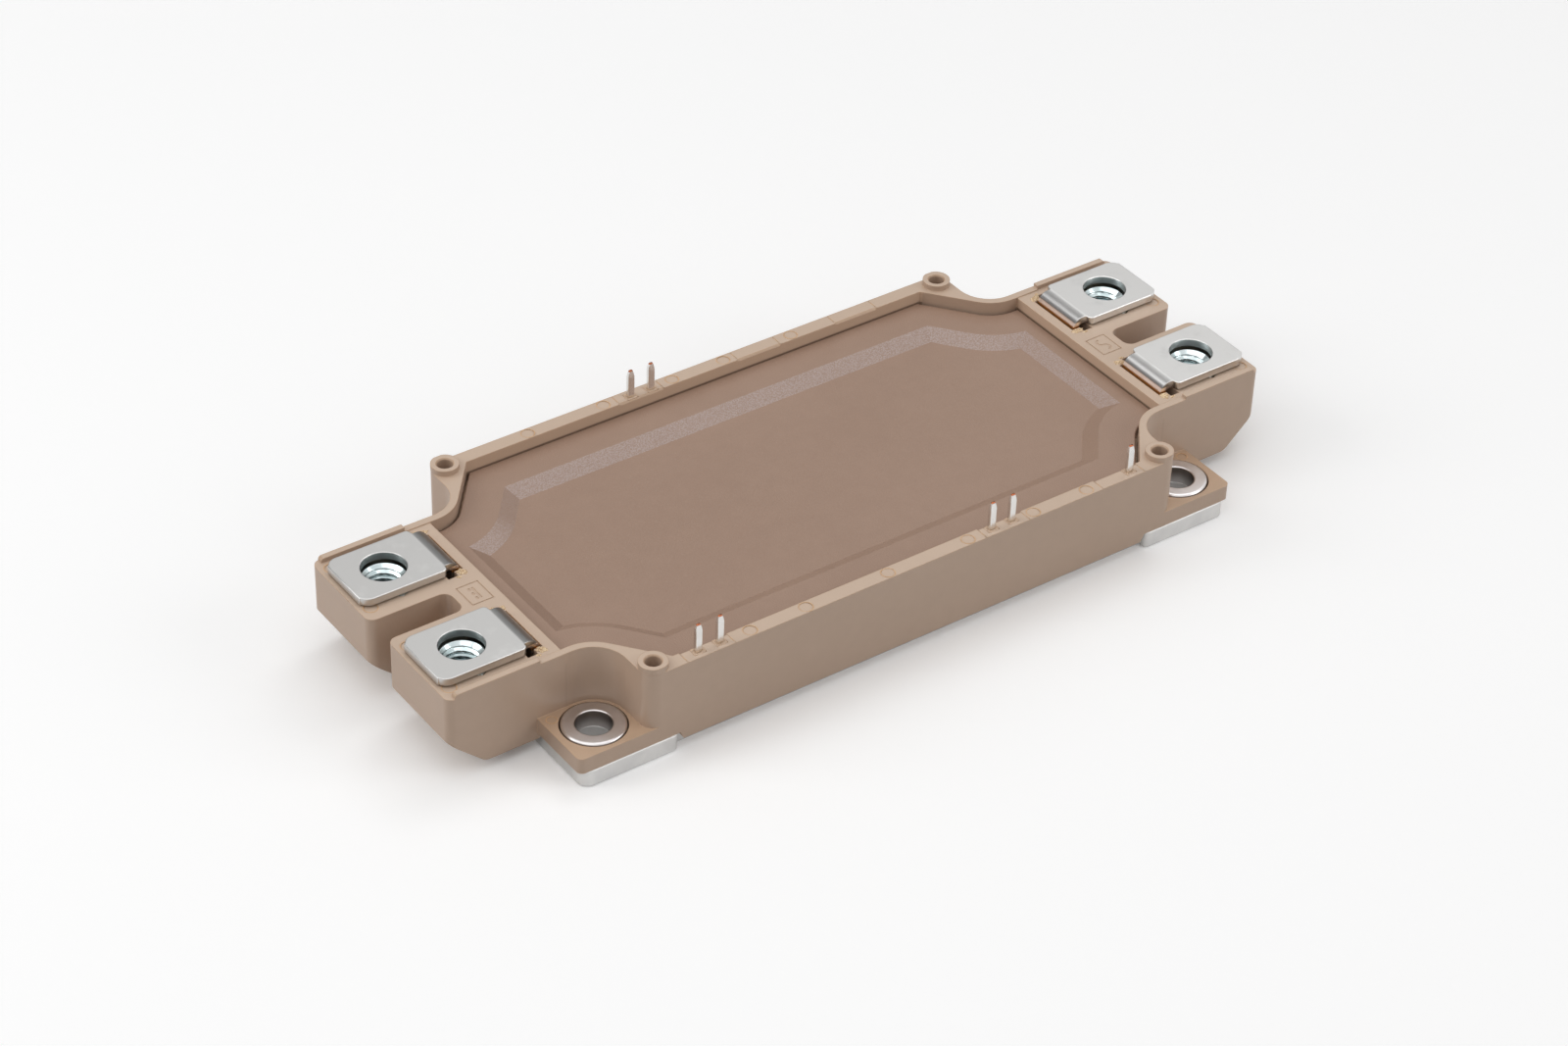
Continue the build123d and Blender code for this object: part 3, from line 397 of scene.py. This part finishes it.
def bend_onset(x, y, z):
    """The strips start to fall a little before the bend. From 61 mm inwards, with d the distance
    in from there, the surface falls by 0.5 d^2 / (d + 0.7 mm)."""
    inwards = (61 * MM - abs(x)).math("MAXIMUM", 61 * MM - abs(x), 0.0)
    return 0 - inwards * inwards * 0.5 / (inwards + 0.7 * MM)


def nut_bore_shade(x, y, z):
    """A nut's thread is painted darker with depth under 14.2 mm, as shade in the bore."""
    return z.fall(12.0 * MM, 14.2 * MM) * 0.85, tint(70, 90, 94)


def bushing_bore_shade(x, y, z):
    """The bushings' bores, within 2.8 mm of their axes, are painted darker as shade, most of all near the
    top.
    """
    aside, ahead = abs(x) - MOUNT_X * MM, abs(y) - MOUNT_Y * MM
    inside = (aside * aside + ahead * ahead).fall((2.78 * MM) ** 2, (2.85 * MM) ** 2)
    return inside * (z.step(3.2 * MM, 5.2 * MM) * 0.5 + 0.35), tint(112, 98, 89)


tin = metal("terminal_metal", (221, 220, 218), (202, 201, 199), 0.26, (0.3, 1, 1), 0.14 * MM, 0.002 * MM,
            cuts_and_painted_light=slot_edges, light_drift=4.0, curl=bend_onset)
zinc = metal("zinc", (222, 232, 234), (192, 210, 212), 0.12, None, 0.08 * MM, 0.001 * MM,
             centre=(TERMINAL_X * MM, TERMINAL_Y * MM), cuts_and_painted_light=nut_bore_shade)
nickel = metal("nickel_plate", (222, 221, 219), (212, 211, 210), 0.5, (1, 1, 0.5), 0.25 * MM, 0.006 * MM,
               0.4 * MM)
steel = metal("steel", (230, 227, 227), (218, 214, 213), 0.26, None, 0.06 * MM, 0.0012 * MM,
              centre=(MOUNT_X * MM, MOUNT_Y * MM), cuts_and_painted_light=bushing_bore_shade)
pin_tin = metal("pin_metal", (236, 234, 231), (228, 225, 221), 0.2, (1, 1, 0.15), 0.1 * MM, 0.002 * MM,
                0.1 * MM, cuts_and_painted_light=cut_tips)
copper = metal("copper", (222, 150, 116), (205, 132, 98), 0.35, (1, 0.3, 1), 0.2 * MM, 0.002 * MM)
solder = metal("solder", (196, 196, 196), (170, 170, 172), 0.4, (1, 1, 1), 0.5 * MM, 0.01 * MM)
bond = metal("aluminium", (226, 226, 228), (208, 208, 212), 0.3, (1, 0.2, 1), 0.1 * MM, 0.002 * MM)
print("metals:", [m.name for m in (tin, zinc, nickel, steel, pin_tin, copper, solder, bond)])


# %% [markdown]
# ## Inside
# The lid and the gel hide the circuit, but an exploded view or a cut shows it: white ceramic with
# copper tracks, dark chips and a clear gel.

# %% Ceramic, chips, gel and adhesive
def plain(name, pale, dark, rough, size, **more):
    """A non-metal finish with two close tones in grains of one size."""
    material, flow, put = finish_of(name, **more)
    where = here(flow)
    spots = grain(flow, where, size, 3.0)
    put(base_color=spots.step(0.35, 0.65).blend(tint(*dark), tint(*pale)), roughness=rough + spots * 0.1)
    put(normal=relief(flow, spots, size * 0.01))
    return material


ceramic = plain("ceramic", (238, 236, 230), (226, 224, 218), 0.5, 0.4 * MM)
silicon = plain("silicon", (112, 112, 124), (84, 84, 98), 0.18, 1.5 * MM, metallic=0.6)
chip_body = plain("thermistor_body", (60, 60, 62), (40, 40, 44), 0.4, 0.3 * MM)
adhesive = plain("adhesive", (226, 224, 216), (212, 210, 202), 0.4, 1 * MM)
gel = plain("gel", (240, 240, 236), (232, 232, 228), 0.05, 8 * MM, alpha=0.35)
print("inner finishes:", [m.name for m in (ceramic, silicon, chip_body, adhesive, gel)])

# %% Dress the CAD nodes
finishes = {
    "frame_plastic": plastic, "lid_plastic": matt, "terminal_metal": tin, "zinc": zinc,
    "nickel_plate": nickel, "steel": steel, "pin_metal": pin_tin, "copper": copper,
    "solder": solder, "aluminium": bond, "ceramic": ceramic,
    "silicon": silicon, "thermistor_body": chip_body, "adhesive": adhesive, "gel": gel}
slots = {part["node"]: part["material_slot"] for part in frame["record"]["subparts"]}
for name, slot in slots.items():
    for place in nodes[name].material_slots:
        place.material = finishes[slot]
print("dressed", len(slots), "nodes")

# %% [markdown]
# ## Nuts
# Under each terminal lies an M6 hexagon nut. Looking down the terminal's hole one sees its wide
# chamfered mouth and the first turns of the thread, bright where they catch the light. The nut is
# one closed ring surface: up the bore, over the top face, down the hexagon and back under. The bore
# swings between the thread's minor and major radius with the height and the angle.

# %% Nut surface
NUT_BASE, NUT_H, NUT_FLAT = 10.1, 5.0, 5.0
THREAD_PITCH, THREAD_MINOR, THREAD_MAJOR = 1.0, 2.5, 3.0
MOUTH_R, CORNER_DROP = 3.35, 0.75


def nut_sheet(turns=120, bore_rows=80, edge=0.12):
    """Rows go up the bore and round the outside. In the bore the radius is a rounded triangle wave
    of height / pitch - angle / 360 degrees, but never less than the mouth's 45 degree cone. Outside
    it is the hexagon's radius, and the end faces drop towards the hexagon's corners."""
    angle = np.linspace(0, 2 * np.pi, turns, endpoint=False)
    height = np.linspace(0, NUT_H, bore_rows)[:, None]
    phase = (height / THREAD_PITCH - angle / (2 * np.pi)) % 1
    wave = np.clip(np.abs(phase - 0.5) * 2.6 - 0.2, 0, 1)
    thread = THREAD_MINOR + (THREAD_MAJOR - THREAD_MINOR) * wave
    mouth = MOUTH_R - np.minimum(height, NUT_H - height)
    bore_r = np.maximum(thread, mouth)
    flat_angle = (angle + np.pi / 2) % (np.pi / 3) - np.pi / 6
    hexagon = NUT_FLAT / np.cos(flat_angle)
    drop = CORNER_DROP * (hexagon - NUT_FLAT) / (NUT_FLAT / np.cos(np.pi / 6) - NUT_FLAT) + edge
    shares = np.array([0.35, 0.8, 0.94])[:, None]
    top_r = MOUTH_R + (NUT_FLAT - MOUTH_R) * shares + 0 * angle
    top_z = NUT_H + 0 * top_r
    outer_r = np.stack([hexagon - edge, hexagon - 0.3 * edge, hexagon,
                        hexagon, hexagon - 0.3 * edge, hexagon - edge])
    outer_z = np.stack([NUT_H - drop + edge, NUT_H - drop + 0.7 * edge, NUT_H - drop - 0.3 * edge,
                        drop + 0.3 * edge, drop - 0.7 * edge, drop - edge])
    radius = np.concatenate([bore_r, top_r, outer_r, top_r[::-1]])
    level = np.concatenate([height + 0 * angle, top_z, outer_z, 0 * top_z])
    return np.stack([radius * np.cos(angle), radius * np.sin(angle), level], -1)


nut = nut_sheet()
nut_places = [(sx * TERMINAL_X, sy * TERMINAL_Y, NUT_BASE) for sx, sy in QUARTERS]
nuts = woven("threaded_nuts", [(nut + place) * MM for place in nut_places], zinc, True, True)
nuts.data.set_sharp_from_angle(angle=radians(40))
stands_for(nuts, "zinc", "terminal_nuts")

# %% [markdown]
# ## Bushings
# The bushings are turned from bar: a flat ring with a rounded outer edge and a polished chamfer in
# the bore. Their profile is a line of radii and heights, with the arcs of the two edges in it,
# carried round the upright axis.

# %% Bushing surface
BUSHING_R, BORE_R, BUSHING_LOW, BUSHING_TOP = 4.9, 2.75, 3.0, 5.95


def bushing_sheet(turns=144, outer=0.38, inner=0.3):
    """Up the bore, round its chamfer as a shallow arc, out over the face, round the outer edge as
    a quarter circle, and down the outside."""
    quarter = np.linspace(0, np.pi / 2, 9)
    lip_r, lip_z = BORE_R + inner * (1 - np.cos(quarter)), BUSHING_TOP - inner * (1 - np.sin(quarter))
    edge_r, edge_z = BUSHING_R - outer * (1 - np.sin(quarter)), BUSHING_TOP - outer * (1 - np.cos(quarter))
    bore_z = np.linspace(BUSHING_LOW, BUSHING_TOP - inner - 0.02, 6)
    face_r = np.linspace(BORE_R + inner + 0.02, BUSHING_R - outer - 0.02, 8)
    side_z = np.linspace(BUSHING_TOP - outer - 0.02, BUSHING_LOW, 5)
    radius = np.concatenate([0 * bore_z + BORE_R, lip_r, face_r, edge_r, 0 * side_z + BUSHING_R])[:, None]
    level = np.concatenate([bore_z, lip_z, 0 * face_r + BUSHING_TOP, edge_z, side_z])[:, None]
    angle = np.linspace(0, 2 * np.pi, turns, endpoint=False)
    return np.stack([radius * np.cos(angle), radius * np.sin(angle), level + 0 * angle], -1)


bushing = bushing_sheet()
bushing_places = [(sx * MOUNT_X, sy * MOUNT_Y, 0) for sx, sy in QUARTERS]
rings = woven("turned_bushings", [(bushing + place) * MM for place in bushing_places], steel, True, True)
rings.data.set_sharp_from_angle(angle=radians(50))
stands_for(rings, "steel", "bushings")

# %% [markdown]
# ## Signal pins
# Each pin is stamped and bent from tinned strip: a wide bond pad under the gel, a bend in the rim
# and an upright shaft with a groove down its faces and a pinched tip, where the cut shows bare
# copper. A rectangular section with rounded corners is carried along that path.

# %% Pin surface
PIN_W, PIN_T, PIN_Y, PIN_TOP = 1.15, 0.8, 29.4, 20.5
PAD_END_Y, PAD_W, PAD_L, FOOT_Z = 24.75, 2.4, 1.9, 6.8
PIN_PLACES = [(x, -1) for x in (-39.9, -36.1, 13.75, 17.55, 40.6)] + [(x, 1) for x in (-12.75, -8.95)]


def pin_sheet(bend_r=0.75, around=40):
    """Stations along the path carry a section |x / half width|^6 + |t / half thickness|^6 = 1. The
    half width is the pad's at the start, and both shrink over the last 1.1 mm to the pinched tip.
    A groove, a narrow bell across the faces, runs up the shaft."""
    foot = np.array([0, 0.06, 0.3, PAD_L - 0.3, PAD_L - 0.06, PAD_L, 2.6, PIN_Y - PAD_END_Y - bend_r])
    turn = np.linspace(0, np.pi / 2, 8)[1:]
    tip = [19.35, 19.6, 19.9, 20.2, 20.4, PIN_TOP]
    climb = np.concatenate([np.linspace(FOOT_Z + bend_r, 19.0, 12)[1:], tip])
    place = np.concatenate([foot, foot[-1] + bend_r * np.sin(turn), np.full(climb.size, foot[-1] + bend_r)])
    level = np.concatenate([np.full(foot.size, FOOT_Z), FOOT_Z + bend_r * (1 - np.cos(turn)), climb])
    lean = np.concatenate([np.zeros(foot.size), turn, np.full(climb.size, np.pi / 2)])
    pad_shares = [0.75, 0.97, 1, 1, 0.97, PIN_W / PAD_W]
    pad_width = np.interp(np.arange(foot.size), [0, 1, 2, 3, 4, 5], pad_shares) * PAD_W
    shaft_width = np.interp(climb, [19.35, 19.9, 20.4, PIN_TOP], [1, 0.86, 0.6, 0.5]) * PIN_W
    width = np.concatenate([pad_width, np.full(turn.size, PIN_W), shaft_width])
    shaft_thick = np.interp(climb, [19.35, 20.2, PIN_TOP], [1, 0.62, 0.4]) * PIN_T
    thick = np.concatenate([np.full(foot.size + turn.size, PIN_T), shaft_thick])
    angle = np.linspace(0, 2 * np.pi, around, endpoint=False) + np.pi / around
    round_x = np.sign(np.cos(angle)) * np.abs(np.cos(angle)) ** (1 / 3)
    round_t = np.sign(np.sin(angle)) * np.abs(np.sin(angle)) ** (1 / 3)
    upright = np.clip((lean - 1.2) * 5, 0, 1)[:, None]
    groove = 0.07 * upright * np.exp(-(round_x / 0.28) ** 2) * np.sign(np.sin(angle))
    x = width[:, None] / 2 * round_x
    t = thick[:, None] / 2 * round_t - groove * (thick[:, None] / PIN_T)
    y = PAD_END_Y + place[:, None] - t * np.sin(lean)[:, None]
    z = level[:, None] + t * np.cos(lean)[:, None]
    return np.stack([x, y, z], -1)


pin = pin_sheet()
pin_sheets = [(pin * (sy, sy, 1) + (x, 0, 0)) * MM for x, sy in PIN_PLACES]
pins = woven("stamped_pins", pin_sheets, pin_tin, False, True)
pins.data.set_sharp_from_angle(angle=radians(60))
stands_for(pins, "pin_metal", "signal_pins")

# %% [markdown]
# ## Terminals
# The terminals are thick punched strips. Punching rounds their upper edges, and that thin bright
# line is what makes them read as metal. Each is a merged copy of its CAD solid with a Bevel.

# %% Punched edges on the terminals
for name in ("terminal_dc_minus", "terminal_dc_plus", "terminal_ac_front", "terminal_ac_rear"):
    mesh = nodes[name].data.copy()
    mesh.name = name.replace("terminal", "strip")
    merged = bmesh.new()
    merged.from_mesh(mesh)
    bmesh.ops.remove_doubles(merged, verts=merged.verts, dist=0.001 * MM)
    bmesh.ops.dissolve_limit(merged, angle_limit=radians(0.3), verts=merged.verts, edges=merged.edges)
    merged.to_mesh(mesh)
    merged.free()
    mesh.materials.clear()
    mesh.materials.append(tin)
    strip = bpy.data.objects.new(mesh.name, mesh)
    bpy.context.scene.collection.objects.link(strip)
    bevel = strip.modifiers.new("punched_edge", "BEVEL")
    bevel.width, bevel.segments, bevel.limit_method, bevel.angle_limit = 0.2 * MM, 3, "ANGLE", radians(35)
    mesh.shade_smooth()
    mesh.set_sharp_from_angle(angle=radians(40))
    stands_for(strip, "terminal_metal", name)

# %% [markdown]
# ## Burrs
# Where the metal leaves the moulding, the plastic is torn into small pale crumbs: beside the neck of
# each terminal and at the foot of each pin. A crumb is a low dome over a ragged outline, with sines of
# several sizes added to its height.

# %% Burr surface
RIM_Z, BLOCK_Z, EAR_Z = 15.6, 15.4, 5.7
dice = np.random.default_rng(7)


def burr_sheet(length, width, tall, rings=9, around=28):
    """Polar grid: the outline's radius is 1 + a few random sines of the angle, and the height is a
    dome (1 - share^2)^0.6 with random ripples, sunk a little at the outline."""
    share = np.linspace(0.02, 1, rings)[:, None]
    angle = np.linspace(0, 2 * np.pi, around, endpoint=False)
    phases = dice.uniform(0, 2 * np.pi, 6)
    outline = 1 + 0.22 * np.sin(2 * angle + phases[0]) + 0.16 * np.sin(5 * angle + phases[1])
    outline = outline + 0.1 * np.sin(9 * angle + phases[2])
    wave_x = np.sin(9 * share * np.cos(angle) + phases[3])
    wave_y = np.cos(8 * share * np.sin(angle) + phases[4])
    ripple = 0.7 + 0.35 * wave_x * wave_y
    ripple = ripple + dice.uniform(-0.22, 0.22, (rings, around)) * share
    dome = (1 - share ** 2) ** 0.6 * ripple
    x = length / 2 * share * outline * np.cos(angle)
    y = width / 2 * share * outline * np.sin(angle)
    return np.stack([x, y, tall * dome - 0.03], -1)


# Each spot holds x, y and z, then the crumb's length, width and height.
burr_spots = []
for sx, sy in QUARTERS:
    for side in (-1, 1):
        burr_spots.append((sx * 58.5, sy * TERMINAL_Y + side * 5.6, BLOCK_Z, 1.8, 1.3, 0.36))
        burr_spots.append((sx * 59.5, sy * TERMINAL_Y + side * 6.45, BLOCK_Z, 0.9, 0.6, 0.18))


def sleeve_sheet(around=48):
    """A square collar in a pin's pocket: superellipse rings from the pocket's outline to the pin, the
    last one drawn up against the metal with a few random waves."""
    angle = np.linspace(0, 2 * np.pi, around, endpoint=False)
    square_x = np.sign(np.cos(angle)) * np.abs(np.cos(angle)) ** 0.3
    square_y = np.sign(np.sin(angle)) * np.abs(np.sin(angle)) ** 0.3
    waves = 0.5 + 0.3 * np.sin(3 * angle + dice.uniform(0, 6)) + 0.2 * np.sin(7 * angle + dice.uniform(0, 6))
    outward = np.array([0.42, 0.39, 0.3, 0.22, 0.1, 0.03, 0.02])[:, None]
    level = np.array([-0.25, 0.01, 0.03, -0.03, -0.02, 0.04, -0.25])[:, None]
    raised = np.array([0, 0.04, 0.06, 0, 0, 0.14, 0])[:, None]
    x = (PIN_W / 2 + outward) * square_x
    y = (PIN_T / 2 + outward) * square_y
    return np.stack([x, y, level + raised * waves], -1)


burr_sheets = [(burr_sheet(length, width, tall) + (x, y, z)) * MM
               for x, y, z, length, width, tall in burr_spots]
burrs = woven("moulding_burrs", burr_sheets, torn, False, True)
sleeve_sheets = [(sleeve_sheet() + (x, sy * PIN_Y, RIM_Z)) * MM for x, sy in PIN_PLACES]
sleeves = woven("pin_sleeves", sleeve_sheets, plastic, True, True)
stands_for(sleeves, "frame_plastic")
stands_for(burrs, "frame_plastic")

# %% [markdown]
# The mould leaves its own lines: a ring round each ejector pin, and a seam across the rim at the ends
# of each insert. They are thin ridges of flash, a few hundredths of a millimetre high, and a ring
# comes and goes because its height waves with the angle and sinks into the surface in part.

# %% Flash of the mould
RIM_MARKS = [(x, -29.65) for x in (-30.9, -20.9, -5.9, 9.1, 21.6, 32.0)]
RIM_MARKS += [(x, 29.65) for x in (-31.7, -17.7, -4.7, 5.2, 18.4)]
INSERTS = [(x, -29.8) for x in (-38.4, 15.9, 38.5)]
INSERTS += [(x, 29.8) for x in (-11.25, 11.4, 30.65)]
INSERT_HALF = 4.15
BLOCK_MARK_X, BLOCK_MARKS_Y, EAR_MARK_X, EAR_MARK_Y = 74.1, (5.3, 16.7), 59.6, 20.9
RING_R, EAR_RING_R = 1.1, 0.85


def ring_sheet(radius, around=56):
    """A torus with a section 0.2 mm wide and 0.07 mm high, whose middle lies at
    -0.01 + 0.03 sin(angle + p) + 0.01 sin(4 angle + q)."""
    section = np.linspace(0, 2 * np.pi, 8, endpoint=False)[:, None]
    angle = np.linspace(0, 2 * np.pi, around, endpoint=False)
    middle = -0.01 + 0.03 * np.sin(angle + dice.uniform(0, 6)) + 0.01 * np.sin(4 * angle + dice.uniform(0, 6))
    reach = radius + 0.1 * np.cos(section)
    return np.stack([reach * np.cos(angle), reach * np.sin(angle), middle + 0.035 * np.sin(section)], -1)


flash = plain("flash_plastic", (214, 177, 138), (199, 161, 123), 0.4, 0.3 * MM)
ring_spots = [(x, y, RIM_Z, RING_R) for x, y in RIM_MARKS]
ring_spots += [(sx * BLOCK_MARK_X, sy * y, BLOCK_Z, RING_R) for sx, sy in QUARTERS for y in BLOCK_MARKS_Y]
ring_spots += [(sx * EAR_MARK_X, sy * EAR_MARK_Y, EAR_Z, EAR_RING_R) for sx, sy in QUARTERS]
mark_sheets = [(ring_sheet(radius) + (x, y, z)) * MM for x, y, z, radius in ring_spots]
marks = woven("ejector_rings", mark_sheets, flash, True, True)
seam_spots = [(x + end * INSERT_HALF, y) for x, y in INSERTS for end in (-1, 1)]
seam_sheets = [(burr_sheet(length=0.16, width=1.5, tall=0.07) + (x, y, RIM_Z)) * MM for x, y in seam_spots]
seams = woven("seam_lines", seam_sheets, flash, False, True)
stands_for(marks, "frame_plastic")
stands_for(seams, "frame_plastic")

# %% [markdown]
# ## Room, light and camera
# The module stands on a pale floor under soft studio light from four square lamps: a wide one
# overhead, one behind the left end, a low one at the front right, and a small one behind the right
# end, for a little sheen on faces that lean towards the viewer. The world is white, but reflections
# see it as a room with two darker bands at the back, a darker ceiling and a slightly darker front,
# which gives the metal its contrast. The floor glows a little, so that it stays near white beside the
# module's shadow.

# %% Floor
FLOOR_SIZE = 4.0
bpy.ops.mesh.primitive_plane_add(size=FLOOR_SIZE, location=(0, 0, 0))
floor = bpy.context.object
floor.name = "floor"
floor_paint, flow, put = finish_of("floor_paint", roughness=0.9, specular_ior_level=0.1)
seen = flow.node("ShaderNodeLightPath")
shown = seen + Flow(flow.tree, seen.socket.node.outputs["Is Glossy Ray"])
shown = shown + Flow(flow.tree, seen.socket.node.outputs["Is Transmission Ray"])
tone = grain(flow, here(flow), 0.3).blend((0.97, 0.97, 0.97, 1), (0.99, 0.99, 0.99, 1))
put(base_color=shown.blend((0.6, 0.6, 0.6, 1), tone), emission_strength=1.0)
put(emission_color=seen.blend((0, 0, 0, 1), (0.07, 0.07, 0.07, 1)))
floor.data.materials.append(floor_paint)
print("floor:", FLOOR_SIZE, "m across")

# %% World and lamps
WORLD_LIGHT = 0.32
world = bpy.data.worlds.new("studio")
bpy.context.scene.world = world
world.use_nodes = True
backdrop = world.node_tree.nodes["Background"]
sky = Flow(world.node_tree)
direction = sky.node("ShaderNodeTexCoord")
across, along, up = direction.axes()
seen = sky.node("ShaderNodeLightPath")
mirrored = Flow(world.node_tree, seen.socket.node.outputs["Is Glossy Ray"])
through = Flow(world.node_tree, seen.socket.node.outputs["Is Transmission Ray"])
behind = along.step(0.2, 0.5)
high_left = (0.35 - across).step(0.0, 0.4) * up.step(0.0, 0.1) * up.fall(0.84, 0.94) * behind * 0.78
low = (across + 0.3).step(0.0, 0.3) * up.step(-0.05, 0.05) * up.fall(0.40, 0.57) * behind * 0.78
zenith = up.step(0.86, 0.95) * 0.8
front = (1 - behind) * (1 - up.step(0.86, 0.95)) * 0.12
shade = 1 - high_left.math("MAXIMUM", high_left, low) - zenith - front
shown = (seen + through + mirrored * shade).math("MINIMUM", seen + through + mirrored * shade, 1.0)
strength = shown.math("MAXIMUM", shown, WORLD_LIGHT)
backdrop.inputs["Color"].default_value = (1, 1, 1, 1)
world.node_tree.links.new(strength.socket, backdrop.inputs["Strength"])


def lamp(name, place, target, size, watts):
    """A square area lamp at a place in metres, turned towards the target."""
    light = bpy.data.lights.new(name, "AREA")
    light.shape, light.size, light.energy = "SQUARE", size, watts
    holder = bpy.data.objects.new(name, light)
    bpy.context.scene.collection.objects.link(holder)
    holder.location = place
    holder.rotation_euler = (Vector(target) - Vector(place)).to_track_quat("-Z", "Y").to_euler()
    return holder


lamps = [lamp("overhead", (-0.22, 0.0, 0.85), (0, 0, 0), 1.2, 4.1),
         lamp("left", (-0.70, 0.38, 0.46), (0, 0, 0), 0.5, 1.9),
         lamp("front_right", (0.56, -0.64, 0.40), (0, 0, 0), 0.5, 1.6),
         lamp("sheen", (0.50, 0.23, 0.88), (0, 0, 0), 0.4, 1.1)]
print("lamps:", [light.name for light in lamps])

# %% [markdown]
# The camera was fitted to the photograph: a long lens 60 cm away, from above the front left.

# %% Camera
SENSOR_W = 36.0
IMAGE_W = 1600
FOCAL_PX = 3888.2
AZIMUTH, ELEVATION, ROLL = radians(-36.462), radians(36.852), radians(1.957)
DISTANCE = 0.60152
AIM = Vector((0.00062, 0.00559, 0))
back = Vector((np.sin(AZIMUTH) * np.cos(ELEVATION), -np.cos(AZIMUTH) * np.cos(ELEVATION), np.sin(ELEVATION)))
level = (-back).cross(Vector((0, 0, 1))).normalized()
upright = level.cross(-back)
right = np.cos(ROLL) * level + np.sin(ROLL) * upright
above = np.cos(ROLL) * upright - np.sin(ROLL) * level
lens = bpy.data.cameras.new("camera")
lens.lens = FOCAL_PX * SENSOR_W / IMAGE_W
lens.sensor_width = SENSOR_W
camera = bpy.data.objects.new("camera", lens)
bpy.context.scene.collection.objects.link(camera)
turned = Matrix((right, above, back)).transposed().to_4x4()
camera.matrix_world = Matrix.Translation(AIM + back * DISTANCE) @ turned
bpy.context.scene.camera = camera
bpy.context.scene.view_settings.view_transform = "Standard"
print("lens in mm:", round(lens.lens, 1))
